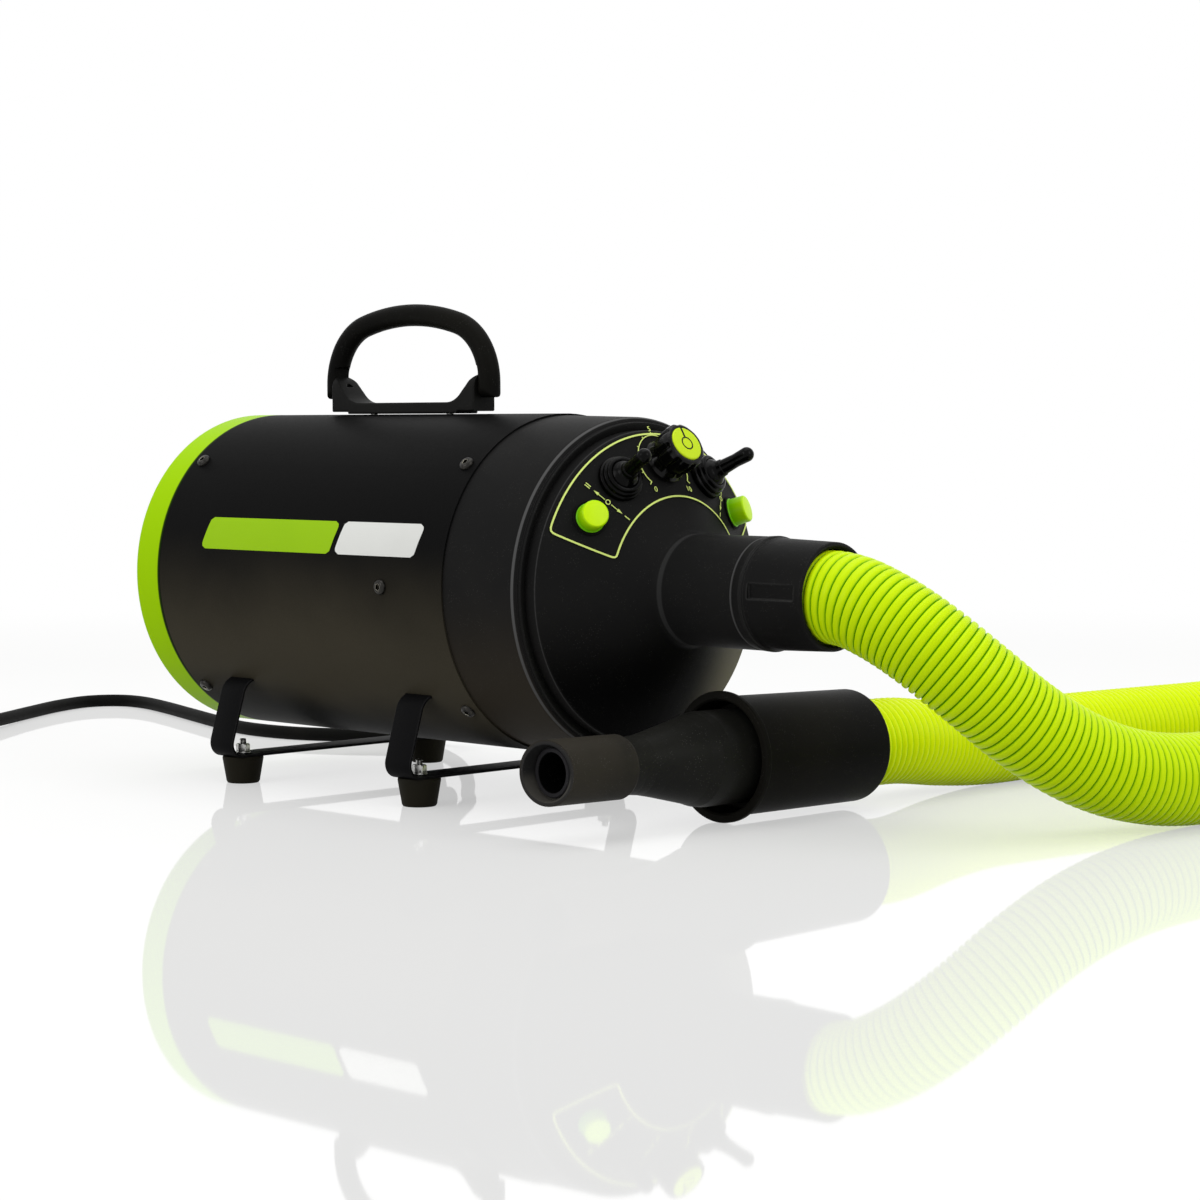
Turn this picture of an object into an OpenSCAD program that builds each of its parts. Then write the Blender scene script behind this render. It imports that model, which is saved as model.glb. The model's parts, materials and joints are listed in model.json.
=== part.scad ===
// Pet dryer with a metal drum, carry handle, strap legs, control cone, blower hose and nozzle.
// Units are millimetres. The drum's axis runs along X and the air leaves towards +X.
// Left is the left of someone who faces the controls, which is towards -Y.
// The floor is z = 0, and the origin lies on the floor under the middle of the drum's length.

/* [Body] */
// Outside diameter of the metal sleeve
body_d = 180; // [170:1:200]
// Thickness of the sleeve's sheet
sheet_t = 1.2; // [0.8:0.1:2]
// Visible length of the metal sleeve
sleeve_len = 239; // [230:1:280]
// Visible length of the rear cap
cap_len = 23; // [20:1:34]
// Visible length of the plastic front housing
front_len = 51.5; // [44:0.5:70]
// Wall of the moulded housings
shell_t = 3; // [2:0.25:4]
// Length of the push-in rims of the cap and the housing
spigot_len = 16; // [12:1:20]
// Clearance of a moulding in its seat
fit_gap = 0.2; // [0.1:0.05:0.4]
// Rounding of the outer edges of the cap and the housing
edge_r = 3; // [1:0.5:5]
// Gap between the drum and the floor
floor_gap = 26; // [22:1:50]

/* [Front cone] */
// Diameter of the cone's round foot
collar_d = 162; // [154:1:165]
// Stand-out of the cone's foot ahead of the housing
collar_len = 9.5; // [6:0.5:16]
// Length of the cone
cone_len = 30; // [24:1:40]
// Diameter of the outlet neck
neck_d = 57; // [52:0.5:62]
// Length of the outlet neck
neck_len = 53; // [40:1:70]
// Bore of the outlet neck
neck_bore = 50; // [44:0.5:51]
// Fillet between the cone and the neck
neck_fillet = 5; // [2:0.5:8]

/* [Rear intake] */
// Diameter of the intake grille
grille_d = 148; // [120:1:156]
// Thickness of the intake grille
grille_t = 2; // [1.5:0.5:3]
// Width of one air slot
slot_w = 3.6; // [2.5:0.1:3.8]
// Width of one grille ring
ring_w = 3.4; // [2:0.1:5]
// Number of spokes
grille_spokes = 8; // [4:1:12]
// Thickness of the filter foam
filter_t = 12; // [8:1:14]

/* [Body screws] */
// Thread diameter of the body screws
screw_d = 4; // [3:0.5:5]
// Head diameter of the body screws
screw_head_d = 8; // [6.5:0.5:10]
// Head height of the body screws
screw_head_h = 2.4; // [1.6:0.2:3]
// Distance of the end screws from the sleeve's ends
screw_inset = 8.5; // [7:0.5:10]
// Angle of the end screws from the top
screw_angle = 45; // [40:1:50]

/* [Carry handle] */
// Distance from the sleeve's rear edge to the handle's middle
handle_x = 115; // [110:1:130]
// Length of the handle base
handle_base_len = 119.4; // [110:0.2:130]
// Width of the handle base
handle_base_w = 16; // [14:0.5:20]
// Thickness of the handle base between its ears
handle_base_t = 6.2; // [5.5:0.1:8]
// Height of the hinge pins above the drum
handle_pin_h = 15; // [13:0.5:18]
// Diameter of the hinge pins
handle_pin_d = 5; // [4:0.5:6]
// Thickness of the bail
bail_d = 12.2; // [10:0.2:14]
// Corner radius of the bail, on its centreline
bail_corner_r = 34; // [28:1:38]
// Slope where the bail's corners meet its crown
bail_crown_angle = 15.5; // [10:0.5:20]
// Clearance between the bail and the base
bail_gap = 0.3; // [0.2:0.05:0.5]

/* [Legs] */
// Distance from the rear face to the rear leg frame
rear_leg_x = 71; // [65:1:80]
// Distance from the rear face to the front leg frame
front_leg_x = 220.5; // [205:0.5:225]
// Width of the leg strap
leg_w = 20; // [16:1:22]
// Thickness of the leg strap
leg_t = 1.5; // [1.2:0.1:2.5]
// Distance between the left and the right feet
foot_track = 138; // [124:1:144]
// Distance from the feet's middle to the straps' outer faces
leg_overhang = 15.4; // [14.6:0.2:18]
// Lean of the straps
leg_lean = 16.5; // [13:0.5:20]
// Radius of the strap's lower bend
leg_bend_r = 7; // [5:0.5:8]
// Radius of the strap's upper bend
leg_top_r = 10; // [8:0.5:12]
// Length of the strap's tab inside the drum
leg_tab = 12; // [8:1:14]
// Height of the rubber feet
foot_h = 15; // [12:1:20]
// Top diameter of the rubber feet
foot_d = 23.6; // [20:0.2:26]
// Bottom diameter of the rubber feet
foot_base_d = 19; // [16:0.5:20]
// Thread diameter of the foot bolts
bolt_d = 4; // [3:0.5:5]

/* [Controls] */
// Radius of the circle that the controls stand on
control_r = 64.5; // [60:0.5:68]
// Angle of the two switches from the top
toggle_angle = 29; // [26:1:34]
// Angle of the two lamps from the top
lamp_angle = 54.5; // [52:0.5:60]
// Diameter of the lamp lenses
lamp_d = 15.4; // [12:0.2:16]
// Height of the lamp lenses
lamp_h = 9; // [6:0.5:12]
// Diameter of the switch boots
boot_d = 24; // [20:0.5:26]
// Height of the switch boots
boot_h = 12; // [10:0.5:14]
// Height of the lever's tip above the cone
lever_h = 31; // [26:1:36]
// Diameter of the lever's tip
lever_tip_d = 6.8; // [5.5:0.1:8]
// Diameter of the lever's stem
lever_d = 4.8; // [4:0.1:5.4]
// Tilt of the lever to each side
lever_tilt = 13; // [10:1:15]
// Diameter of the knob
knob_d = 25; // [22:0.5:28]
// Height of the knob's face above the cone
knob_h = 20; // [16:0.5:24]
// Diameter of the knob's coloured cap
knob_cap_d = 18.8; // [15:0.2:20]
// Number of grooves round the knob
knob_flutes = 8; // [6:1:12]
// Diameter of the knob's shaft
knob_shaft_d = 6; // [5:0.5:6.5]

/* [Motors] */
// Gap between the fan shrouds and the tie rods
fan_rod_gap = 4; // [3:0.5:8]
// Length of the fan shrouds
fan_len = 42; // [38:1:44]
// Diameter of the motor frames
motor_d = 90; // [84:1:94]
// Length of the motor frames
motor_len = 64; // [60:1:66]
// Diameter of the motor shafts
shaft_d = 8; // [6:0.5:10]
// Radial running clearance of the shafts and the knob
run_gap = 0.05; // [0.03:0.01:0.08]
// Distance between the two motors
motor_pitch = 124; // [121:1:126]
// Thickness of the bulkheads
bulkhead_t = 8; // [6:0.5:10]
// Thickness of the rubber rings between shrouds and bulkheads
mount_ring_t = 4; // [3:0.5:5]
// Diameter of the tie rods
rod_d = 6; // [5:0.5:7]
// Thickness of the acoustic liner
liner_t = 7.5; // [5:0.5:8]

/* [Hose] */
// Outside diameter of the hose over its ribs
hose_d = 46; // [42:0.5:47]
// Depth of the hose's ribs
rib_depth = 2; // [1:0.25:2.5]
// Bore of the hose
hose_bore = 37; // [32:0.5:38]
// Number of ribs
hose_ribs = 180; // [120:1:190]
// Clearance of the hose in its fittings
hose_gap = 0.4; // [0.3:0.1:0.6]
// Length of the cuff ahead of the neck
cuff_len = 43; // [38:1:50]
// Diameter of the cuff at its hose end
cuff_d = 53.4; // [52:0.2:56]
// Length of the cuff's spigot in the neck
cuff_spigot = 22; // [14:1:30]

/* [Nozzle] */
// Length of the grip tube
grip_len = 98; // [90:1:110]
// Diameter of the grip tube behind its rim
grip_d = 60.6; // [59:0.2:64]
// Diameter of the grip tube's rim
grip_rim_d = 66.4; // [64:0.2:70]
// Wall of the grip tube
grip_t = 1.8; // [1.4:0.1:2.2]
// Diameter of the nozzle's base
nozzle_base_d = 48; // [46:0.5:49]
// Diameter of the nozzle's tip
nozzle_tip_d = 32; // [30:0.5:34]
// Bore of the nozzle's tip
nozzle_bore = 19.4; // [18:0.2:21]
// Length of the nozzle ahead of the grip
nozzle_len = 117; // [105:1:130]
// Length of the nozzle's tip
nozzle_tip_len = 47; // [40:1:55]
// Length of the nozzle's base inside the grip
nozzle_inset = 50; // [40:1:54]

/* [Mains cord] */
// Diameter of the mains cord
cord_d = 8.5; // [7:0.1:8.6]
// Length of the strain relief
relief_len = 38; // [30:1:50]
// Middle of the coil, along X
coil_x = -524; // [-560:1:-520]
// Middle of the coil, along Y
coil_y = -55; // [-70:1:-50]
// Number of turns in the coil
coil_turns = 6.25; // [4.25:1:8.25]
// Step from turn to turn
coil_pitch = 9.3; // [9.3:0.1:11]
// Smallest radius of the coil's centreline
coil_inner_r = 33.5; // [33:0.5:40]
// Height of the coil's lower layer above the floor
coil_lift = 1.35; // [1.2:0.05:2]

/* [Hidden] */
$fn = 96;
eps = 0.01;      // overlap of a cutting tool with the face that it cuts
seat_gap = 0.3;  // gap between curved faces that rest on each other

// Colours
green = [0.60, 0.78, 0.05];
black_metal = [0.09, 0.09, 0.09];
black_plastic = [0.06, 0.06, 0.06];
rubber = [0.04, 0.04, 0.04];
steel = [0.72, 0.72, 0.72];
copper = [0.72, 0.42, 0.24];
foam_grey = [0.30, 0.30, 0.32];

// Stations along the drum, from rear to front
body_r = body_d / 2;
total_len = cap_len + sleeve_len + front_len + collar_len + cone_len + neck_len;
rear_x = -total_len / 2;
sleeve_x0 = rear_x + cap_len;
sleeve_x1 = sleeve_x0 + sleeve_len;
lip_x = sleeve_x1 + front_len;
cone_x0 = lip_x + collar_len;
cone_x1 = cone_x0 + cone_len;
neck_x1 = cone_x1 + neck_len;
axis_z = floor_gap + body_r;
top_z = axis_z + body_r;
front_drop = sheet_t - 0.2;                      // the housing lies this far inside the sleeve's face
front_r = body_r - front_drop;
spigot_r = body_r - sheet_t - fit_gap;
inner_r = spigot_r - shell_t;                    // inside of the cap and the housing
screw_rear_x = sleeve_x0 + screw_inset;
screw_front_x = sleeve_x1 - screw_inset;

// Cone
collar_r = collar_d / 2;
neck_r = neck_d / 2;
cone_r1 = neck_r + 1;
cone_slope = (collar_r - cone_r1) / cone_len;    // loss of radius for each millimetre of length
cone_normal = atan(1 / cone_slope);              // tilt of the cone's face normal from +X
cone_wall = shell_t / cos(cone_normal);          // the wall measured along X
function cone_x(r) = cone_x0 + (collar_r - r) / cone_slope;
flange_t = 3;
flange_r = inner_r - fit_gap;

// Intake
ledge_t = 3;
filter_x0 = rear_x + grille_t + ledge_t;
filter_x1 = filter_x0 + filter_t;
retainer_t = 2;
grille_ring_pitch = slot_w + ring_w;

// Motors
liner_r = body_r - sheet_t - seat_gap;
rod_liner_gap = 1;
rod_circle_r = liner_r - liner_t - rod_liner_gap - rod_d / 2;
rod_angles = [30, 150, 210, 330];
fan_r = rod_circle_r - rod_d / 2 - fan_rod_gap;
motor_r = motor_d / 2;
shaft_r = shaft_d / 2;
frame_t = 1.6;
shroud_t = 1.5;
shroud_gap = 2;                                  // running gap of the impellers in the shroud
leg_clear = 0.5;                                 // the front leg's tabs start this far behind the bulkhead
front_bulkhead_x = front_leg_x + rear_x - leg_w / 2 + leg_clear;
motor_x = [front_bulkhead_x - mount_ring_t - fan_len - motor_pitch,
           front_bulkhead_x - mount_ring_t - fan_len];   // rear faces of the two fan shrouds
rear_bulkhead_x = front_bulkhead_x - motor_pitch;
bulkhead_r = body_r - sheet_t - 0.5;
bulkhead_hole_r = motor_r + 6;
bearing_r = 11;
bearing_w = 7;
bearing_x = [fan_len + 3, fan_len + motor_len + 6];      // rear faces of a motor's bearings
armature_x = [fan_len + 0.22 * motor_len, fan_len + 0.78 * motor_len];
armature_r = 0.53 * motor_r;
commutator_r = 13;
commutator_x = [armature_x[1] + 2, fan_len + motor_len - 3];
air_gap = 0.8;

// Handle
handle_mid_x = sleeve_x0 + handle_x;
handle_half = handle_base_len / 2;
pin_z = top_z + handle_pin_h;
ear_r = handle_base_w / 2;
bail_r = bail_d / 2;
bail_half = handle_half + bail_gap + 3.9;        // half the span between the bail's two legs
bail_rise = 2;                                   // straight part of the legs above the pins
fold_past_level = 15;                            // the bail folds this far below level
bail_relief_r = bail_gap + norm([ear_r, ear_r * tan(fold_past_level) + bail_r / cos(fold_past_level)]);
crown_r = (bail_half - bail_corner_r * (1 - sin(bail_crown_angle))) / sin(bail_crown_angle);
crown_z = pin_z + bail_rise + bail_corner_r * cos(bail_crown_angle)
    - crown_r * cos(bail_crown_angle);           // centre of the crown's arc
handle_screw_x = 32;
pin_in_ear = 4;                                  // length of a hinge pin inside the ear
pin_in_bail = 6.8;                               // length of a hinge pin outside the ear
base_lift = 1.5;                                 // the base's ends stand clear of the drum
base_lift_len = 14;

// Legs
foot_y = foot_track / 2;
leg_half_w = foot_y + leg_overhang;
leg_bend_y = leg_half_w - leg_bend_r - leg_t / 2;
leg_low_z = foot_h + leg_t / 2;
leg_bend_z = leg_low_z + leg_bend_r;
leg_tab_z = axis_z - body_r * 0.639;             // the tabs enter the drum at 40 degrees below its axis
leg_top_z = leg_tab_z - leg_top_r;
leg_low = [leg_bend_y + leg_bend_r * cos(leg_lean), leg_bend_z + leg_bend_r * sin(leg_lean)];
leg_run = (leg_top_z + leg_top_r * sin(leg_lean) - leg_low[1]) / cos(leg_lean);
leg_high = [leg_low[0] - leg_run * sin(leg_lean), leg_low[1] + leg_run * cos(leg_lean)];
leg_top_y = leg_high[0] - leg_top_r * cos(leg_lean);
leg_xs = [rear_x + rear_leg_x, rear_x + front_leg_x];
bolt_head_r = bolt_d * 0.9;
bolt_head_z = 6;
nut_w = bolt_d * 1.75;
nut_h = bolt_d * 1.1;

// Controls
seat_depth = 0.6;                                // flat round seats cut into the cone
lever_pivot = 2;                                 // height of the levers' pivots above the cone
lever_ball_r = 3.2;
bushing_r = 5.8;
bushing_h = 7.2;
toggle_w = 14;
toggle_len = 28;
toggle_depth = 24;
// The flat tops of the switches and the potentiometer lie under the cone's curved inside
switch_low = -shell_t - pow(toggle_len / 2, 2) / (2 * control_r) - 0.5;
lever_pin_r = 0.9;
lever_pin_len = 2 * (bushing_r - 1.1);
pot_depth = 14;
pot_bushing_r = 4.8;
knob_clear = 0.8;

// Hose and nozzle
hose_r = hose_d / 2;
hose_bore_r = hose_bore / 2;
hose_hole_r = hose_r + hose_gap;
cuff_ring_len = 5;
hose_start_x = neck_x1 + 3;
grip_r = grip_d / 2;
grip_rim_r = grip_rim_d / 2;
grip_pos = [178.2, -10.2, grip_rim_r + 0.1];     // middle of the grip tube's rim
grip_turn = 1.6;                                 // heading of the grip, from +Y towards +X
mouth_slant = 11.3;                              // slant of the nozzle's mouth, forward at its -X side
grip_tilt = 0.8;                                 // fall of the grip towards its hose end
hose_inset = 25;
bore_rings = 84;                                 // rings of the hose's smooth bore
nozzle_base_r = nozzle_base_d / 2;
nozzle_tip_r = nozzle_tip_d / 2;
nozzle_bore_r = nozzle_bore / 2;

// Points that the hose follows, from the cuff to the grip tube
hose_points = [
    [hose_start_x, 0, axis_z], [223, 0, axis_z], [240, 0, axis_z], [256, 1, 114.2],
    [270, 3.5, 109], [284, 8, 101], [298, 15, 90], [312, 27, 75], [325, 45, 57], [336, 66, 42],
    [345, 88, 32], [351, 111, 26.5], [355, 135, 24], [357, 160, 23.4], [363, 205, 23.4],
    [380, 248, 23.4], [408, 286, 23.4], [438, 322, 23.4], [468, 358, 23.4], [498, 394, 23.4],
    [528, 430, 23.4], [554, 469, 23.4], [569, 514, 23.4], [573, 561, 23.4], [565, 607, 23.4],
    [546, 650, 23.4], [518, 687, 23.4], [481, 716, 23.4], [438, 735, 23.4], [391, 743, 23.4],
    [344, 739, 23.4], [300, 724, 23.4], [261, 698, 23.4], [229, 664, 23.4], [206, 622, 23.4],
    [195, 577, 23.4], [192, 530, 23.4], [193, 483, 23.4], [194, 436, 23.4], [194, 389, 23.4],
    [189, 342, 23.4], [184, 295, 23.4], [180, 248, 23.4], [178, 203, 23.5], [179, 164, 26.5],
    grip_point(grip_len + 35), grip_point(grip_len + 5), grip_point(grip_len - hose_inset)
];

// Mains cord
cord_r = cord_d / 2;
gland_angle = -125;                              // round the drum from its top, on the far side
gland_x = sleeve_x0 + 27;
gland_flange_r = 9;
gland_flange_h = 4;
gland_dir = [0, -sin(gland_angle), cos(gland_angle)];
cord_start = [gland_x, 0, axis_z] + (body_r + gland_flange_h + relief_len) * gland_dir;
coil_start_angle = 34;
coil_outer_r = coil_inner_r + coil_pitch * coil_turns / 2;
coil_low_z = cord_r + coil_lift;
coil_step_z = cord_d + 0.7;
coil_entry = coil_point(0);
coil_entry_dir = unit(coil_point(0.01) - coil_point(0));
coil_exit = coil_point(coil_turns);
coil_exit_dir = unit(coil_point(coil_turns) - coil_point(coil_turns - 0.01));
cord_end = coil_entry - cord_d * coil_entry_dir;
tail_start = coil_exit + cord_d * coil_exit_dir;
straight = 2;                                    // each cord ends in a straight bit of this length
cord_points = [
    cord_start, cord_start + straight * gland_dir, cord_start + 9 * gland_dir,
    cord_start + 17 * gland_dir, [-158, 125, 27],
    [-164, 131, 21], [-173, 135, 14], [-185, 136, 8.5], [-201, 133, 5], [-226, 122, 4.3],
    [-254, 104, 4.3], [-287, 90, 4.3], [-332, 89, 4.3], [-383, 104, 4.3], [-433, 121, 4.3],
    [-486, 139, 4.3], [-525, 149, 4.3], [-549, 146, 4.3], [-559, 126, 4.3], [-547, 93, 4.3],
    [-522, 52, 4.3], [-493, 11, 4.8], cord_end - straight * coil_entry_dir, cord_end
];
plug_pos = [-606, -58, 12];
tail_points = [
    tail_start, tail_start + straight * coil_exit_dir, [-517, -123, 12], [-535, -130, 8],
    [-554, -131, 5], [-574, -125, 4.5], [-591, -113, 4.5], [-601, -98, 6], [-605, -82, 9.5],
    [-606, -70, 12], plug_pos - [0, straight, 0], plug_pos
];
tie_angles = [120, 320];
plug_relief = 22;
plug_len = 36;
plug_w = 26;
plug_h = 20;

// ---- Functions ----

function unit(v) = v / norm(v);

// Points of an arc about [x, r], from angle a0 to a1
function arc(x, r, radius, a0, a1, n = 8) =
    [for (i = [0:n]) let (a = a0 + (a1 - a0) * i / n) [x + radius * cos(a), r + radius * sin(a)]];

// A list of points in reverse, and the same points on the other side of the middle
function backward(points) = [for (i = [len(points) - 1:-1:0]) points[i]];
function flipped(points) = [for (p = points) [-p[0], p[1]]];

// A point on the grip's axis, t behind its rim
function grip_point(t) = grip_pos + t * [sin(grip_turn) * cos(grip_tilt),
    cos(grip_turn) * cos(grip_tilt), -sin(grip_tilt)];

// The coil spirals in for half its turns and out again for the rest.
// It climbs to its upper layer in the half turn about the middle.
function climb(t) = let (u = min(1, max(0, (t - coil_turns / 2) * 2 + 0.5))) u * u * (3 - 2 * u);
function coil_point(t) =
    let (r = coil_inner_r + coil_pitch * abs(t - coil_turns / 2), a = coil_start_angle - 360 * t)
    [coil_x + r * cos(a), coil_y + r * sin(a), coil_low_z + coil_step_z * climb(t)];

// Catmull-Rom curve through a list of points; u counts the points
function end_point(p, i) = i < 0 ? 2 * p[0] - p[1]
    : i >= len(p) ? 2 * p[len(p) - 1] - p[len(p) - 2] : p[i];
function curve(p, u) =
    let (i = min(floor(u), len(p) - 2), t = u - i,
         a = end_point(p, i - 1), b = p[i], c = p[i + 1], d = end_point(p, i + 2))
    b + t * (c - a) / 2 + t * t * (2 * a - 5 * b + 4 * c - d) / 2
    + t * t * t * (3 * b - a - 3 * c + d) / 2;

// Distance along the points, as a table from length to point number
function sum_to(p, i) = i == 0 ? 0 : sum_to(p, i - 1) + norm(p[i] - p[i - 1]);
function length_table(p) = [for (i = [0:len(p) - 1]) [sum_to(p, i), i]];
function along(p, rings) =
    let (table = length_table(p), total = sum_to(p, len(p) - 1))
    [for (k = [0:rings - 1]) curve(p, lookup(total * k / (rings - 1), table))];

// The same with straight first and last stretches
function along_with_ends(p, rings) = concat([p[0]],
    along([for (i = [1:len(p) - 2]) p[i]], rings), [p[len(p) - 1]]);

// The coil's centreline: a straight end, its loops and the other straight end
function coil_path(steps) = concat([cord_end],
    [for (k = [0:steps]) coil_point(coil_turns * k / steps)], [tail_start]);

// Direction of a path at one of its points
function heading(c, k) = unit(c[min(k + 1, len(c) - 1)] - c[max(k - 1, 0)]);

// One ring of a tube: a polygon of n sides square to the path
function ring(p, t, r, n) =
    let (side = unit(cross(t, [0, 0, 1])), up = cross(side, t))
    [for (j = [0:n - 1]) p + r * (cos(360 * (j + 0.5) / n) * side + sin(360 * (j + 0.5) / n) * up)];

// Triangles between rings of n points, and the two flat ends
function skin(rings, n) = [for (k = [0:rings - 2], j = [0:n - 1], h = [0, 1])
    let (a = k * n + j, b = k * n + (j + 1) % n)
    h == 0 ? [a, a + n, b] : [b, a + n, b + n]];
function flat_end(n, first, flip) = [for (j = [1:n - 2])
    flip ? [first, first + j + 1, first + j] : [first, first + j, first + j + 1]];

// Smallest gap between parts of the coil that are more than half a turn apart
function least_gap(c, apart) = min([for (i = [0:len(c) - 1 - apart], j = [i + apart:len(c) - 1])
    norm(c[i] - c[j])]) - cord_d;

// ---- Shapes that repeat ----

// A profile of [x, r] points turned about the drum's axis
module revolve_x(points) {
    translate([0, 0, axis_z]) rotate([0, 90, 0]) rotate_extrude()
        polygon([for (p = points) [p[1], p[0]]]);
}

// A plain ring about the drum's axis
module ring_x(x0, x1, outer, inner) {
    revolve_x([[x0, inner], [x0, outer], [x1, outer], [x1, inner]]);
}

// Places its child at x on a cylinder about the drum's axis, a degrees round from the top
module round_drum(x, a, r = body_r) {
    translate([x, 0, axis_z]) rotate([a, 0, 0]) translate([0, 0, r]) children();
}

// Places its child on the cone's face, a degrees round from the top, +Z out of the cone
module on_cone(a) {
    translate([0, 0, axis_z]) rotate([a, 0, 0])
        translate([cone_x(control_r), 0, control_r]) rotate([0, 90 - cone_normal, 0]) children();
}

// Places its child at the grip's rim, +Z along the grip towards the hose
module at_grip() {
    translate(grip_pos) rotate([0, 0, -grip_turn]) rotate([-grip_tilt, 0, 0]) rotate([-90, 0, 0])
        children();
}

// A button-head screw whose seat is z = 0
module screw(d, head_d, head_h, length) {
    difference() {
        union() {
            rotate_extrude() polygon([[0, 0], [head_d / 2, 0], [head_d / 2, head_h * 0.35],
                [head_d * 0.42, head_h * 0.75], [head_d * 0.3, head_h], [0, head_h]]);
            translate([0, 0, -length]) cylinder(d = d, h = length + eps);
        }
        translate([0, 0, head_h * 0.4]) cylinder(d = d * 0.72, h = head_h, $fn = 6);
    }
}

// A solid tube along a path
module cord_tube(c, r, n) {
    rings = len(c);
    points = [for (k = [0:rings - 1]) each ring(c[k], heading(c, k), r, n)];
    polyhedron(points, concat(skin(rings, n), flat_end(n, 0, false),
        flat_end(n, (rings - 1) * n, true)));
}

// ---- Body ----

module body_sleeve() color(black_metal) difference() {
    ring_x(sleeve_x0, sleeve_x1, body_r, body_r - sheet_t);
    for (x = [screw_rear_x, screw_front_x], a = [-1, 1], b = [0, 180])
        round_drum(x, b + a * screw_angle, body_r - 5) cylinder(d = screw_d + 0.2, h = 10);
    for (a = [90, -90])
        round_drum(front_bulkhead_x + bulkhead_t / 2, a, body_r - 5)
            cylinder(d = screw_d + 0.2, h = 10);
    for (x = [-1, 1])
        round_drum(handle_mid_x + x * handle_screw_x, 0, body_r - 5)
            cylinder(d = screw_d + 0.4, h = 10);
    for (x = leg_xs) leg_strap(x, 0.25);
    round_drum(gland_x, gland_angle, body_r - 5) cylinder(d = 13, h = 10);
}

module rear_cap() color(green) difference() {
    revolve_x(concat(
        [[rear_x, grille_d / 2 + fit_gap]],
        arc(rear_x + edge_r, body_r - edge_r, edge_r, 180, 90),
        [[sleeve_x0, body_r], [sleeve_x0, spigot_r], [sleeve_x0 + spigot_len, spigot_r],
         [sleeve_x0 + spigot_len, inner_r], [filter_x0, inner_r],
         [filter_x0, grille_d / 2 - 3], [rear_x + grille_t, grille_d / 2 - 3],
         [rear_x + grille_t, grille_d / 2 + fit_gap]]));
    for (a = [-1, 1], b = [0, 180])
        round_drum(screw_rear_x, b + a * screw_angle, body_r - 12) cylinder(d = screw_d + 0.04, h = 15);
}

// A flat disc of rings and spokes in the cap's round seat
module intake_grille() color(black_plastic) {
    outer = grille_d / 2;
    rings = floor((outer - 12) / grille_ring_pitch);
    x1 = rear_x + grille_t;
    ring_x(rear_x, x1, outer, outer - 2 * ring_w);
    for (k = [1:rings - 1]) {
        r = outer - 2 * ring_w - k * grille_ring_pitch + ring_w;
        if (r > 14) ring_x(rear_x + 0.2, x1, r, r - ring_w);
    }
    ring_x(rear_x, x1, 12, eps);
    for (k = [0:grille_spokes - 1])
        translate([rear_x + 0.4, 0, axis_z]) rotate([360 * k / grille_spokes, 0, 0])
            translate([0, -1.6, 8]) cube([grille_t - 0.4, 3.2, outer - 10]);
}

module filter_foam() color(foam_grey)
    ring_x(filter_x0, filter_x1, inner_r - seat_gap, 0);

// A snap ring with three bars that holds the foam
module filter_retainer() color(black_plastic) {
    outer = inner_r - fit_gap;
    ring_x(filter_x1, filter_x1 + retainer_t, outer, outer - 8);
    for (k = [0:2]) translate([filter_x1, 0, axis_z]) rotate([60 * k, 0, 0])
        translate([0, -2, -outer + 4]) cube([retainer_t, 4, 2 * outer - 8]);
}

module front_housing() color(black_plastic) {
    board_z = board_top_z();
    difference() {
        union() {
            revolve_x(concat(
                [[sleeve_x1 - spigot_len, inner_r], [sleeve_x1 - spigot_len, spigot_r],
                 [sleeve_x1, spigot_r], [sleeve_x1, front_r]],
                arc(lip_x - edge_r, front_r - 1 - edge_r, edge_r, 90, 0),
                [[lip_x, collar_r + fit_gap], [lip_x - flange_t, collar_r + fit_gap],
                 [lip_x - flange_t, inner_r]]));
            // four pillars that carry the control board
            for (x = board_hole_x(), y = [-1, 1])
                translate([x, y * board_hole_y, axis_z - sqrt(pow(inner_r + 1, 2) - pow(board_hole_y, 2))])
                    cylinder(r = 3.5, h = board_z - board_t
                        - (axis_z - sqrt(pow(inner_r + 1, 2) - pow(board_hole_y, 2))), $fn = 32);
        }
        for (a = [-1, 1], b = [0, 180])
            round_drum(screw_front_x, b + a * screw_angle, body_r - 12)
                cylinder(d = screw_d + 0.04, h = 15);
    }
}

module front_cone() color(black_plastic) difference() {
    // outside: flange, foot, cone and neck; inside: neck bore, cone and foot
    slope = atan(cone_slope);
    revolve_x(concat(
        [[lip_x - 2 * flange_t, flange_r], [lip_x - flange_t, flange_r], [lip_x - flange_t, collar_r]],
        arc(cone_x0 - 2, collar_r - 2, 2, 90, 90 - slope, 4),
        arc(cone_x1 + neck_fillet * sin(slope) - 1.5, neck_r + neck_fillet, neck_fillet,
            270 - slope, 270, 6),
        [[neck_x1 - 1, neck_r], [neck_x1, neck_r - 1], [neck_x1, neck_bore / 2],
         [cone_x1 - 1, neck_bore / 2], [cone_x0 - cone_wall + 1, collar_r - shell_t],
         [lip_x - 2 * flange_t, collar_r - shell_t]]));
    for (a = [-1, 1]) {
        on_cone(a * lamp_angle) control_seat(lamp_d / 2, 5);
        on_cone(a * toggle_angle) control_seat(boot_d / 2, bushing_r);
    }
    on_cone(0) control_seat(knob_d / 2, pot_bushing_r);
}

// A flat round seat with a hole through the wall
module control_seat(r, hole_r) {
    translate([0, 0, -seat_depth]) cylinder(r = r + 0.25, h = 10);
    translate([0, 0, -12]) cylinder(r = hole_r + 0.2, h = 20);
}

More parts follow.
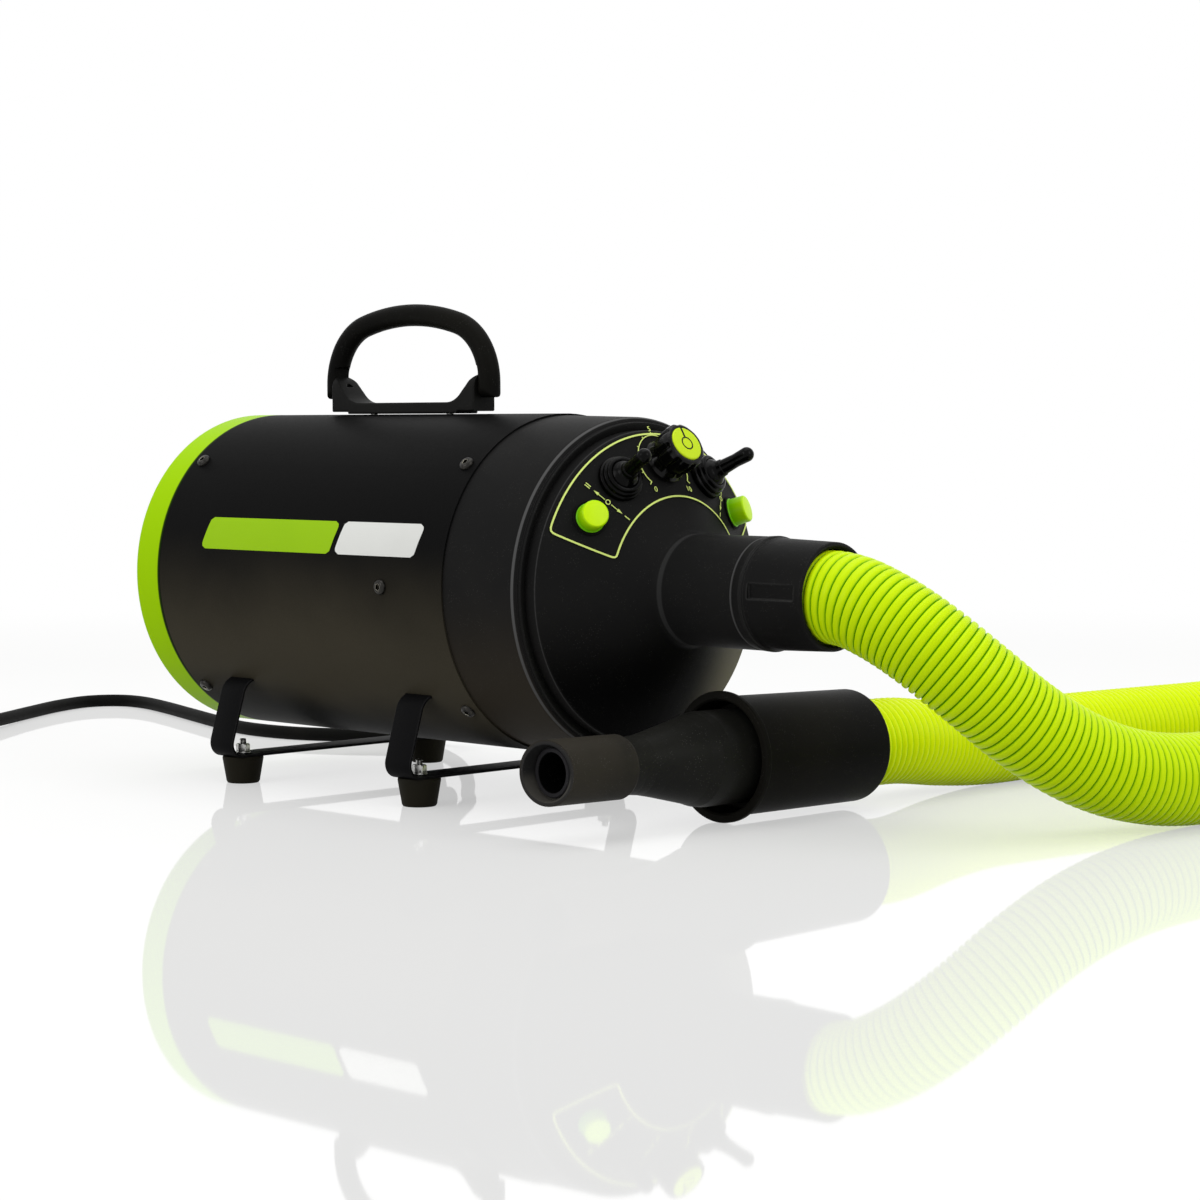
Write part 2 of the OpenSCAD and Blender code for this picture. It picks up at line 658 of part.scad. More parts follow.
// Eight screws at the sleeve's ends and two that hold the front bulkhead
module sleeve_screws() color(steel) {
    for (x = [screw_rear_x, screw_front_x], a = [-1, 1], b = [0, 180])
        round_drum(x, b + a * screw_angle) screw(screw_d, screw_head_d, screw_head_h, 8);
    for (a = [90, -90])
        round_drum(front_bulkhead_x + bulkhead_t / 2, a) screw(screw_d, screw_head_d, screw_head_h, 14);
}

// Foam sleeve between the bulkheads, with pockets round the handle's screws
module acoustic_liner() color(foam_grey) difference() {
    ring_x(rear_bulkhead_x + bulkhead_t + seat_gap, front_bulkhead_x - leg_clear - seat_gap,
        liner_r, liner_r - liner_t);
    for (s = [-1, 1])
        round_drum(handle_mid_x + s * handle_screw_x, 0, liner_r - liner_t - 2) cylinder(d = 12, h = 14);
}

// ---- Motors ----

// A disc that the motors hang on, with slots where the leg tabs pass
module bulkhead(x) {
    difference() {
        ring_x(x, x + bulkhead_t, bulkhead_r, bulkhead_hole_r);
        for (a = rod_angles)
            round_drum(x - 1, a, rod_circle_r) rotate([0, 90, 0])
                cylinder(d = rod_d + 0.2, h = bulkhead_t + 2);
        for (y = [-1, 1])
            translate([x - 1, y > 0 ? leg_top_y - leg_tab - 2 : -body_r, leg_tab_z - 5])
                cube([bulkhead_t + 2, body_r - leg_top_y + leg_tab + 2, 10]);
        for (a = [90, -90])
            round_drum(x + bulkhead_t / 2, a, body_r - 16) cylinder(d = screw_d + 0.04, h = 20);
    }
}

module rear_bulkhead() color(black_metal) bulkhead(rear_bulkhead_x);
module front_bulkhead() color(black_metal) bulkhead(front_bulkhead_x);

module mount_rings() color(rubber) for (x = motor_x)
    ring_x(x + fan_len, x + fan_len + mount_ring_t, fan_r - 1, fan_r - 12);

// Four long screws with heads behind the rear bulkhead and nuts ahead of the front one
module tie_rods() color(steel) for (a = rod_angles)
    round_drum(rear_bulkhead_x, a, rod_circle_r) rotate([0, 90, 0]) {
        translate([0, 0, -5]) cylinder(d = rod_d, h = motor_pitch + bulkhead_t + 10);
        translate([0, 0, -4.5]) cylinder(r = rod_d * 0.8, h = 4.5, $fn = 6);
        translate([0, 0, motor_pitch + bulkhead_t]) cylinder(r = rod_d * 0.8, h = 4.5, $fn = 6);
    }

// A can round two impellers, with an air eye and a plate between the two stages
module fan_shroud(x) {
    eye_r = 24;
    mid = x + fan_len / 2;
    ring_x(x, x + shroud_t, fan_r, eye_r);
    ring_x(x + shroud_t - eps, x + fan_len - shroud_t + eps, fan_r, fan_r - shroud_t);
    ring_x(mid - shroud_t, mid, fan_r - shroud_t + eps, 14);
    difference() {
        ring_x(x + fan_len - shroud_t, x + fan_len, fan_r, motor_r - 6);
        for (k = [0:11]) round_drum(x, 15 + 30 * k, motor_r + 6)
            rotate([0, 90, 0]) cylinder(r = 3.5, h = fan_len + 1);
    }
}

module fan_shroud_rear() color(steel) fan_shroud(motor_x[0]);
module fan_shroud_front() color(steel) fan_shroud(motor_x[1]);

// A tube with an end plate and a bearing cup at each end
module motor_frame(x) {
    x0 = x + fan_len;
    x1 = x0 + motor_len;
    cup_r = bearing_r + 2;
    difference() {
        union() {
            ring_x(x0 + eps, x1, motor_r, motor_r - frame_t);
            ring_x(x0 + eps, x0 + 2, motor_r - 1, bearing_r - 3);
            ring_x(x0 + eps, x0 + 3 + bearing_w, cup_r, bearing_r);
            ring_x(x1 - 2, x1, motor_r - 1, bearing_r - 3);
            ring_x(x1 - eps, x1 + 6 + bearing_w, cup_r, bearing_r);
        }
        // air slots in both end plates
        for (k = [0:7]) round_drum(x0 - 1, 45 * k + 22.5, 28)
            rotate([0, 90, 0]) cylinder(r = 6, h = motor_len + 2);
    }
}

module motor_frame_rear() color([0.55, 0.56, 0.58]) motor_frame(motor_x[0]);
module motor_frame_front() color([0.55, 0.56, 0.58]) motor_frame(motor_x[1]);

// Laminated field ring with two wound poles
module stator(x) {
    x0 = x + armature_x[0];
    x1 = x + armature_x[1];
    ring_x(x0, x1, motor_r - frame_t - fit_gap, armature_r + air_gap);
}

module stator_rear() color(copper) stator(motor_x[0]);
module stator_front() color(copper) stator(motor_x[1]);

// Shaft, two impellers, armature and commutator
module rotor(x) {
    blades = 9;
    wheel_r = fan_r - shroud_t - shroud_gap;
    wheel_w = fan_len / 2 - shroud_t - 2 * shroud_gap - 1;
    ring_x(x + shroud_t + 1, x + bearing_x[1] + bearing_w, shaft_r, 0);
    ring_x(x + armature_x[0], x + armature_x[1], armature_r, shaft_r - eps);
    ring_x(x + commutator_x[0], x + commutator_x[1], commutator_r, shaft_r - eps);
    ring_x(x + armature_x[1] - eps, x + commutator_x[0] + eps, commutator_r - 4, shaft_r - eps);
    for (start = [x + shroud_t + shroud_gap, x + fan_len / 2 + shroud_gap]) {
        ring_x(start, start + wheel_w, 10, shaft_r - eps);
        ring_x(start + wheel_w - 1.2, start + wheel_w, wheel_r, 10 - eps);
        for (k = [0:blades - 1])
            translate([start, 0, axis_z]) rotate([360 * k / blades, 0, 0])
                translate([0, -0.6, 9.5]) cube([wheel_w - 1, 1.2, wheel_r - 10]);
    }
}

module rotor_rear() color([0.80, 0.80, 0.82]) rotor(motor_x[0]);
module rotor_front() color([0.80, 0.80, 0.82]) rotor(motor_x[1]);

module motor_bearings() color(steel) for (x = motor_x, b = bearing_x)
    ring_x(x + b, x + b + bearing_w, bearing_r - 0.02, shaft_r + run_gap);

// Carbon brushes in their boxes, above and below each commutator
module brush_holders() color([0.75, 0.60, 0.25]) for (x = motor_x, s = [-1, 1]) {
    width = 10;
    low = commutator_r + 0.4;
    high = sqrt(pow(motor_r - frame_t - fit_gap, 2) - pow(width / 2, 2));
    translate([x + commutator_x[0] + 1, -width / 2, axis_z + (s > 0 ? low : -high)])
        cube([commutator_x[1] - commutator_x[0] - 3, width, high - low]);
}

// ---- Carry handle ----

// Side view of the base: ears at both ends, joined by a flat bar
module handle_base_side() {
    bar = handle_base_t + seat_gap;
    half = concat(
        [[0, seat_gap], [handle_half - base_lift_len, seat_gap], [handle_half - base_lift_len, base_lift],
         [handle_half, base_lift]],
        arc(handle_half + 4.3, handle_pin_h - 4.8, 12, 111, 137, 4),
        arc(handle_half - 23, bar + 17, 17, 317, 270, 8),
        [[0, bar]]);
    polygon(half);
    mirror([1, 0]) polygon(half);
}

module handle_base() color(black_plastic) difference() {
    intersection() {
        translate([handle_mid_x, handle_base_w / 2, top_z]) rotate([90, 0, 0])
            linear_extrude(handle_base_w) handle_base_side();
        translate([handle_mid_x - handle_half - 1, 0, 0]) union() {
            translate([0, -handle_base_w / 2, top_z])
                cube([2 * handle_half + 2, handle_base_w, handle_pin_h]);
            translate([0, 0, pin_z]) rotate([0, 90, 0]) cylinder(r = ear_r, h = 2 * handle_half + 2);
        }
    }
    for (s = [-1, 1]) {
        // hinge pin holes in the ears
        translate([handle_mid_x + s * (handle_half - 1.6), 0, pin_z]) rotate([0, 90, 0])
            cylinder(d = handle_pin_d + 2 * run_gap, h = 2 * pin_in_ear - 2.8, center = true);
        // screw holes with sunk heads
        translate([handle_mid_x + s * handle_screw_x, 0, top_z - 1]) cylinder(d = screw_d + 0.4, h = 12);
        translate([handle_mid_x + s * handle_screw_x, 0, top_z + seat_gap + handle_base_t - 3])
            cylinder(d = screw_head_d + 1, h = 12);
    }
}

// A round bar bent over the base; its feet lap the outside of the ears
module handle_bail() color(black_plastic) difference() {
    union() {
        for (s = [-1, 1]) {
            intersection() {
                translate([handle_mid_x + s * bail_half, 0, pin_z - bail_r])
                    cylinder(r = bail_r, h = bail_r + bail_rise + eps);
                translate([handle_mid_x + s * bail_half, 0, pin_z]) union() {
                    rotate([0, 90, 0]) cylinder(r = bail_r, h = 3 * bail_r, center = true);
                    translate([-bail_d, -bail_d, 0]) cube([2 * bail_d, 2 * bail_d, bail_d]);
                }
            }
            // corner bends
            translate([handle_mid_x + s * (bail_half - bail_corner_r), 0, pin_z + bail_rise])
                rotate([90, 0, s > 0 ? 0 : 180]) rotate_extrude(angle = 90 - bail_crown_angle)
                    translate([bail_corner_r, 0]) circle(bail_r);
        }
        // crown
        translate([handle_mid_x, 0, crown_z]) rotate([90, 0, 0]) rotate([0, 0, 90 - bail_crown_angle])
            rotate_extrude(angle = 2 * bail_crown_angle) translate([crown_r, 0]) circle(bail_r);
    }
    for (s = [-1, 1]) {
        // room for the ears
        translate([handle_mid_x + s * (handle_half + bail_gap - 10), 0, pin_z]) rotate([0, 90, 0])
            cylinder(r = bail_relief_r, h = 20, center = true);
        // hinge pin holes
        translate([handle_mid_x + s * (handle_half + pin_in_bail / 2), 0, pin_z]) rotate([0, 90, 0])
            cylinder(d = handle_pin_d + 2 * run_gap, h = pin_in_bail + 0.4, center = true);
    }
}

module handle_pins() color(steel) for (s = [-1, 1])
    translate([handle_mid_x + s * (handle_half + (pin_in_bail - pin_in_ear) / 2), 0, pin_z])
        rotate([0, 90, 0]) cylinder(d = handle_pin_d, h = pin_in_bail + pin_in_ear, center = true);

module handle_screws() color(steel) for (s = [-1, 1])
    translate([handle_mid_x + s * handle_screw_x, 0, top_z + seat_gap + handle_base_t - 3]) {
        screw(screw_d, screw_head_d, screw_head_h, handle_base_t + 6);
        // nut under the sleeve
        translate([0, 0, -handle_base_t - seat_gap + 3 - sheet_t - 3.4 - 0.1])
            cylinder(d = screw_head_d, h = 3.2, $fn = 6);
    }

// ---- Legs ----

// One half of a leg frame seen from its end, as a line that runs off to the strap's outer side:
// lower bend, upper bend and the end of the tab
function leg_line(off, reach) = concat(
    arc(leg_bend_y, leg_bend_z, leg_bend_r + off, -90, leg_lean, 10),
    arc(leg_top_y, leg_top_z, leg_top_r + off, leg_lean, 90, 8),
    [[leg_top_y - leg_tab - reach, leg_tab_z + off]]);

// End view of one leg frame; c widens it all round, for the slots that it passes
module leg_side(c) {
    outer = leg_line(leg_t / 2 + c, c);
    inner = leg_line(-leg_t / 2 - c, c);
    polygon(concat(outer, backward(inner), flipped(inner), backward(flipped(outer))));
}

module leg_strap(x, c = 0) {
    translate([x - leg_w / 2 - c, 0, 0]) rotate([90, 0, 90]) linear_extrude(leg_w + 2 * c) leg_side(c);
}

module leg_frame(x) {
    difference() {
        leg_strap(x);
        for (s = [-1, 1]) translate([x, s * foot_y, foot_h - 1]) cylinder(d = bolt_d + 0.3, h = 5);
    }
}

module leg_frame_rear() color(black_metal) leg_frame(leg_xs[0]);
module leg_frame_front() color(black_metal) leg_frame(leg_xs[1]);

// A tapered rubber foot, hollow for the bolt's head
module foot(x, y) {
    r1 = foot_base_d / 2;
    r2 = foot_d / 2;
    translate([x, y, 0]) rotate_extrude() polygon([[bolt_head_r + 1, 0], [r1 - 1.5, 0],
        [r1 - 0.4, 0.5], [r1, 1.6], [r2 - 0.2, foot_h - 1], [r2 - 0.6, foot_h], [bolt_d / 2 + 0.1, foot_h],
        [bolt_d / 2 + 0.1, bolt_head_z], [bolt_head_r + 1, bolt_head_z]]);
}

module foot_rear_left() color(rubber) foot(leg_xs[0], -foot_y);
module foot_rear_right() color(rubber) foot(leg_xs[0], foot_y);
module foot_front_left() color(rubber) foot(leg_xs[1], -foot_y);
module foot_front_right() color(rubber) foot(leg_xs[1], foot_y);

module foot_bolts() color(steel) for (x = leg_xs, s = [-1, 1]) translate([x, s * foot_y, 0]) {
    translate([0, 0, bolt_head_z - 3]) cylinder(r = bolt_head_r, h = 3);
    translate([0, 0, bolt_head_z - eps]) cylinder(d = bolt_d, h = foot_h + leg_t + nut_h + 2 - bolt_head_z);
}

module foot_nuts() color(steel) for (x = leg_xs, s = [-1, 1])
    translate([x, s * foot_y, foot_h + leg_t]) difference() {
        union() {
            cylinder(r = nut_w * 0.62, h = 0.8);
            translate([0, 0, 0.8 - eps]) cylinder(d = nut_w / cos(30), h = nut_h, $fn = 6);
        }
        translate([0, 0, -1]) cylinder(d = bolt_d + 0.1, h = nut_h + 4);
    }

// ---- Controls ----

// A domed lens with a stem through the cone's wall
module lamp(a) {
    r = lamp_d / 2;
    on_cone(a) rotate_extrude() polygon(concat(
        [[0, -seat_depth - 7], [5, -seat_depth - 7], [5, -seat_depth], [r, -seat_depth],
         [r, 0.6], [r - 0.5, 1.2]],
        arc(r - 2.1, lamp_h - 1.4, 1.4, 0, 90, 4), [[0, lamp_h]]));
}

module lamp_left() color(green) lamp(lamp_angle);
module lamp_right() color(green) lamp(-lamp_angle);

// Switch box under the cone and the bushing that the lever swings in
module toggle_body(a) {
    low = switch_low;
    on_cone(a) difference() {
        union() {
            translate([-toggle_w / 2, -toggle_len / 2, low - toggle_depth])
                cube([toggle_w, toggle_len, toggle_depth]);
            translate([0, 0, low - eps]) cylinder(r = bushing_r, h = bushing_h - low);
        }
        // bore for the lever's cross pin
        translate([0, 0, lever_pivot]) rotate([0, 90, 0])
            cylinder(r = lever_pin_r + run_gap, h = lever_pin_len + 0.4, center = true);
        translate([0, 0, lever_pivot - lever_ball_r]) cylinder(r = lever_ball_r + 0.25, h = lever_ball_r);
        translate([0, 0, lever_pivot - eps])
            cylinder(r1 = lever_ball_r + 0.25, r2 = lever_d / 2 + 6 * tan(lever_tilt) + 0.5, h = 7);
        translate([0, 0, low - 6])
            cylinder(r = lever_ball_r + 1.4, h = lever_pivot - lever_ball_r - low + 6 + eps);
    }
}

module toggle_body_left() color(black_metal) toggle_body(toggle_angle);
module toggle_body_right() color(black_metal) toggle_body(-toggle_angle);

// Ribbed rubber skirt round the bushing, open at the top for the lever
module toggle_boot(a) {
    r = boot_d / 2;
    open_r = lever_d / 2 + (boot_h - lever_pivot) * tan(lever_tilt) + 0.5;
    on_cone(a) rotate_extrude() polygon([
        [bushing_r + 0.6, -seat_depth], [r, -seat_depth], [r, 1.6], [r - 0.8, 2.4], [r - 1.6, 2.6],
        [r - 1.4, 4.4], [r - 2.4, 5.2], [r - 3.4, 5.4], [r - 3.2, 7.2], [r - 4.2, 8],
        [open_r + 2.2, boot_h - 3], [open_r + 1.8, boot_h], [open_r, boot_h], [open_r, boot_h - 3.2],
        [bushing_r + 0.6, 7], [bushing_r + 0.6, 0]]);
}

module toggle_boot_left() color(rubber) toggle_boot(toggle_angle);
module toggle_boot_right() color(rubber) toggle_boot(-toggle_angle);

// Bat lever: tail, ball with its cross pin, stem and thicker round tip
module toggle_lever(a) {
    tip_r = lever_tip_d / 2;
    on_cone(a) {
        translate([0, 0, lever_pivot]) sphere(r = lever_ball_r, $fn = 48);
        translate([0, 0, lever_pivot]) rotate([0, 90, 0])
            cylinder(r = lever_pin_r, h = lever_pin_len, center = true);
        translate([0, 0, lever_pivot - lever_ball_r - 4]) cylinder(r = 1.6, h = 4.5);
        translate([0, 0, lever_pivot]) cylinder(r1 = lever_d / 2 - 0.2, r2 = lever_d / 2, h = 8);
        translate([0, 0, lever_pivot + 8 - eps])
            cylinder(r1 = lever_d / 2, r2 = tip_r, h = lever_h - tip_r - lever_pivot - 8 + eps);
        translate([0, 0, lever_h - tip_r]) sphere(r = tip_r, $fn = 48);
    }
}

module toggle_lever_left() color(rubber) toggle_lever(toggle_angle);
module toggle_lever_right() color(rubber) toggle_lever(-toggle_angle);

// Fluted knob with its shaft and a round seat for the coloured cap
module control_knob() color(black_plastic) on_cone(0) {
    r = knob_d / 2;
    difference() {
        rotate_extrude() polygon([[0, knob_clear], [r - 1.6, knob_clear], [r - 1, knob_clear + 0.6],
            [r - 1.4, 4], [r - 0.3, 9], [r, knob_h - 4], [r - 0.5, knob_h - 2], [r - 2, knob_h - 0.8],
            [knob_cap_d / 2, knob_h - 0.8], [knob_cap_d / 2 + 0.1, knob_h - 2.2], [0, knob_h - 2.2]]);
        for (k = [0:knob_flutes - 1]) rotate(360 * k / knob_flutes)
            translate([r + 2.2, 0, 3]) cylinder(r = 3.6, h = knob_h);
    }
    translate([0, 0, -pot_depth + 4]) cylinder(d = knob_shaft_d, h = pot_depth + knob_clear);
}

module knob_cap() color(green) on_cone(0) rotate_extrude()
    polygon([[0, knob_h - 2.2], [knob_cap_d / 2 - 0.1, knob_h - 2.2], [knob_cap_d / 2 - 0.1, knob_h - 0.6],
        [knob_cap_d / 2 - 0.8, knob_h - 0.2], [0, knob_h]]);

// Round body and threaded bushing, bored for the knob's shaft
module potentiometer() color(steel) on_cone(0) {
    low = switch_low;
    difference() {
        union() {
            translate([0, 0, low - pot_depth]) cylinder(r = 12, h = pot_depth);
            translate([0, 0, low - eps]) cylinder(r = pot_bushing_r, h = -low);
        }
        translate([0, 0, -pot_depth + 3.5]) cylinder(d = knob_shaft_d + 2 * run_gap, h = pot_depth + 4);
    }
}

// ---- Electronics ----

board_t = 1.6;
board_len = 40;
board_w = 64;
board_hole_y = 27;
function board_top_z() = axis_z - motor_r - 13;
function board_x0() = sleeve_x1 + 2;
function board_hole_x() = [board_x0() + 4, board_x0() + board_len - 4];

module control_board() color([0.05, 0.35, 0.18]) difference() {
    union() {
        translate([board_x0(), -board_w / 2, board_top_z() - board_t]) cube([board_len, board_w, board_t]);
        // relay and capacitor
        translate([board_x0() + 3, -20, board_top_z() - eps]) cube([12, 16, 9]);
        translate([board_x0() + 10, 14, board_top_z() - eps]) cylinder(d = 9, h = 10, $fn = 32);
    }
    for (x = board_hole_x(), y = [-1, 1])
        translate([x, y * board_hole_y, board_top_z() - 3]) cylinder(d = 3, h = 5);
}

// Finned block that cools the speed control
module heat_sink() color([0.7, 0.71, 0.73]) translate([board_x0() + 18, -18, board_top_z()]) {
    cube([18, 28, 3]);
    for (k = [0:4]) translate([0, 6.2 * k, 3 - eps]) cube([18, 2.4, 8]);
}

// ---- Hose, cuff, grip and nozzle ----

module hose_cuff() color(black_plastic) difference() {
    x0 = neck_x1 - cuff_spigot;
    x1 = neck_x1 + cuff_len;
    revolve_x([[x0, neck_bore / 2 - 3.5], [x0, neck_bore / 2 - 0.8], [x0 + 1.5, neck_bore / 2 - fit_gap],
        [neck_x1, neck_bore / 2 - fit_gap], [neck_x1, neck_r + 0.2], [neck_x1 + 1, neck_r + 0.7],
        [neck_x1 + cuff_ring_len - 0.5, neck_r + 0.5], [neck_x1 + cuff_ring_len, neck_r - 0.7],
        [neck_x1 + cuff_ring_len + 2, neck_r - 0.7], [neck_x1 + cuff_ring_len + 2.5, cuff_d / 2 + 1],
        [x1 - 1.2, cuff_d / 2], [x1, cuff_d / 2 - 0.8], [x1, hose_hole_r + 1], [x1 - 1, hose_hole_r],
        [hose_start_x, hose_hole_r], [hose_start_x, neck_bore / 2 - 3.5]]);
    // a shallow window on each side
    for (s = [-1, 1]) translate([neck_x1 + cuff_ring_len + 4.5, s * (cuff_d / 2 + 1.4) - 2.4, axis_z - 1])
        cube([cuff_len - 15.5, 4.8, 7.7]);
}

// One ribbed skin with a smooth bore
module hose() color(green) {
    n = 8;
    outer = along(hose_points, 2 * hose_ribs);
    inner = along(hose_points, bore_rings);
    rings = len(outer);
    rings_in = len(inner);
    outer_points = [for (k = [0:rings - 1])
        each ring(outer[k], heading(outer, k), k % 2 == 0 ? hose_r - rib_depth : hose_r, n)];
    inner_points = [for (k = [0:rings_in - 1]) each ring(inner[k], heading(inner, k), hose_bore_r, n)];
    base = rings * n;
    last = (rings - 1) * n;
    last_in = base + (rings_in - 1) * n;
    inner_skin = [for (f = skin(rings_in, n)) [base + f[0], base + f[2], base + f[1]]];
    ends = [for (j = [0:n - 1], h = [0:3]) let (m = (j + 1) % n)
        h == 0 ? [j, m, base + j] : h == 1 ? [m, base + m, base + j]
        : h == 2 ? [last + j, last_in + j, last + m] : [last + m, last_in + j, last_in + m]];
    polyhedron(concat(outer_points, inner_points), concat(skin(rings, n), inner_skin, ends));
}

// Outer tube with a rim, and an inner tube that holds the nozzle and the hose
module grip_tube() color(black_plastic) {
    inner = grip_r - grip_t;
    stop = nozzle_inset + 1;
    socket_r = nozzle_base_r + 0.15;
    core_r = socket_r + 2.2;
    at_grip() rotate_extrude() polygon(concat(
        [[inner, 1], [inner + 1, 0], [grip_rim_r - 0.8, 0], [grip_rim_r, 0.8], [grip_rim_r, 3],
         [grip_rim_r - 1, 4.2], [grip_r + 0.3, 4.8], [grip_r, 6]],
        [for (p = arc(grip_len - 5, grip_r - 0.9 - 5, 5, 90, 0, 6)) [p[1], p[0]]],
        [[hose_hole_r, grip_len], [hose_hole_r, grip_len - hose_inset],
         [hose_bore_r, grip_len - hose_inset], [hose_bore_r, stop], [socket_r, stop], [socket_r, 14],
         [core_r, 14], [core_r, grip_len - 8], [inner - 0.9, grip_len - 8]]));
}

// Air outlet: a blunt tip with a ring inside its slanted mouth, a flare and a base that pushes into the grip
module nozzle() color(black_plastic) {
    tip0 = -nozzle_len;
    tip1 = tip0 + nozzle_tip_len;
    neck = nozzle_tip_r - 1.7;
    wall = 2.3;
    at_grip() difference() {
        rotate_extrude() polygon([[nozzle_bore_r + 4.6, tip0 - 3.6], [nozzle_tip_r, tip0 - 3.6],
        [nozzle_tip_r, tip1 - 2], [nozzle_tip_r - 0.6, tip1 - 0.5],
        [neck, tip1], [neck, tip1 + 6], [neck + 0.5, tip1 + 12], [neck + 2, tip1 + 20],
        [nozzle_base_r - 2.4, -26], [nozzle_base_r - 0.6, -20], [nozzle_base_r, -15],
        [nozzle_base_r, nozzle_inset - 1], [nozzle_base_r - 1, nozzle_inset],
        [nozzle_base_r - wall, nozzle_inset], [nozzle_base_r - wall, -18],
        [neck - wall + 0.2, tip1 + 10], [nozzle_bore_r, tip1],
        [nozzle_bore_r, tip0 + 3.6], [nozzle_bore_r + 0.4, tip0 + 3.1], [nozzle_bore_r + 1.9, tip0 + 3.1],
        [nozzle_bore_r + 2.4, tip0 + 3.6], [nozzle_bore_r + 2.4, tip0 + 4.6],
        [nozzle_bore_r + 3.3, tip0 + 4.6]]);
        translate([0, 0, tip0]) rotate([0, -mouth_slant, 0]) translate([-30, -30, -20])
            cube([60, 60, 20]);
    }
}

// ---- Mains cord ----

// Flanged gland with a tapered strain relief and a nut inside the drum
module cord_gland() color(rubber) round_drum(gland_x, gland_angle) {
    rotate_extrude() polygon([[0, -10], [6.2, -10], [6.2, 0], [gland_flange_r, 0],
        [gland_flange_r, gland_flange_h - 1], [gland_flange_r - 1, gland_flange_h],
        [7.4, gland_flange_h], [cord_r + 1.1, gland_flange_h + relief_len],
        [0, gland_flange_h + relief_len]]);
    translate([0, 0, -sheet_t - 5.2]) cylinder(r = 7.6, h = 4.5, $fn = 6);
}

module mains_cord() color(rubber) cord_tube(along_with_ends(cord_points, 40), cord_r, 8);

module mains_cord_coil() color(rubber) {
    steps = round(24 * coil_turns);
    path = coil_path(steps);
    echo(least_gap_of_coil = least_gap(path, 14));
    cord_tube(path, cord_r, 6);
}

module mains_cord_tail() color(rubber) cord_tube(along_with_ends(tail_points, 14), cord_r, 8);

// Two straps round all the turns of the coil
module cord_ties() color([0.12, 0.12, 0.12]) for (a = tie_angles)
    translate([coil_x, coil_y, 0]) rotate([0, 0, a]) {
        in0 = coil_inner_r - cord_r - 1.1;
        in1 = coil_outer_r + cord_r + 0.4;
        top = coil_low_z + coil_step_z + cord_r + 0.3;
        difference() {
            translate([in0 - 0.9, -6, 0]) cube([in1 - in0 + 1.8, 12, top + 0.9]);
            translate([in0, -7, coil_lift - 0.25]) cube([in1 - in0, 14, top - coil_lift + 0.25]);
        }
    }

// Grip of the plug, with its tapered cord entry
module plug_body() color(rubber) translate(plug_pos) rotate([-90, 0, 0]) {
    cylinder(r1 = cord_r + 0.8, r2 = 8, h = plug_relief);
    hull() {
        translate([0, 0, plug_relief - eps]) resize([18, 15, 1]) cylinder(r = 9, h = 1, $fn = 32);
        for (s = [-1, 1]) translate([s * (plug_w - plug_h) / 2, 0, plug_relief + 12])
            cylinder(d = plug_h, h = plug_len - 12, $fn = 32);
    }
}

// Two flat blades and a round earth pin
module plug_pins() color(steel)
    translate(plug_pos + [0, plug_relief + plug_len, 0]) {
        for (s = [-1, 1]) translate([s * 6.35 - 0.75, 0, -1]) cube([1.5, 16, 6.3]);
        translate([0, 0, -5.2]) rotate([-90, 0, 0]) cylinder(d = 4.8, h = 19);
    }

// ---- Nodes ----

body_sleeve();
rear_cap();
intake_grille();
filter_foam();
filter_retainer();
front_housing();
front_cone();
sleeve_screws();
acoustic_liner();
rear_bulkhead();
front_bulkhead();
mount_rings();
tie_rods();
fan_shroud_rear();
fan_shroud_front();
motor_frame_rear();
motor_frame_front();
stator_rear();
stator_front();
rotor_rear();
rotor_front();
motor_bearings();
brush_holders();
handle_base();
handle_bail();
handle_pins();
handle_screws();
leg_frame_rear();
leg_frame_front();
foot_rear_left();
foot_rear_right();
foot_front_left();
foot_front_right();
foot_bolts();
foot_nuts();
lamp_left();
lamp_right();
toggle_body_left();
toggle_body_right();
toggle_boot_left();
toggle_boot_right();
toggle_lever_left();
toggle_lever_right();
control_knob();
knob_cap();
potentiometer();
control_board();
heat_sink();
hose_cuff();
hose();
grip_tube();
nozzle();
cord_gland();
mains_cord();
mains_cord_coil();
mains_cord_tail();
cord_ties();
plug_body();
plug_pins();
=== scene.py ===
"""Pet dryer: a drum-shaped blower with a ribbed hose, a hand nozzle and a mains cord.

Shapes are worked out in millimetres in the frame's axes: +X along the drum towards its outlet,
-Y towards the left of someone who faces the controls, +Z up, with the floor at z = 0.
"""
import json
import math

import bpy
import numpy as np
from mathutils import Matrix, Vector


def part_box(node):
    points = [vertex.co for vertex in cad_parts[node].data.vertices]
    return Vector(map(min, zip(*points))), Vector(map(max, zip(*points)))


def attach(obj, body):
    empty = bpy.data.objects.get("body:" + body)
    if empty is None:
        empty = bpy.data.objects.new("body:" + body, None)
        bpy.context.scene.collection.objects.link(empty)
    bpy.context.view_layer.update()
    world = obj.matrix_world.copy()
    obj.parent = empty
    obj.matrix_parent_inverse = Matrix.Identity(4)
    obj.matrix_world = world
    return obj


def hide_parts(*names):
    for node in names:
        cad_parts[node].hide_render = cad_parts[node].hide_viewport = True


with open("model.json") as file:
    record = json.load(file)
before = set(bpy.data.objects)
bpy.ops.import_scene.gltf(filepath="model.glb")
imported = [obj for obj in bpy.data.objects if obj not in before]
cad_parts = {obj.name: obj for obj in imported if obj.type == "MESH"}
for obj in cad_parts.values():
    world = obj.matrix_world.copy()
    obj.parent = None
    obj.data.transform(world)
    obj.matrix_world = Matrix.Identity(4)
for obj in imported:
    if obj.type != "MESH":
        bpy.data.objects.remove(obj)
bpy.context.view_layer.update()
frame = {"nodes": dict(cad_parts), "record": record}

MM = 0.001

# ---- Sizes taken from the frame, in millimetres ----


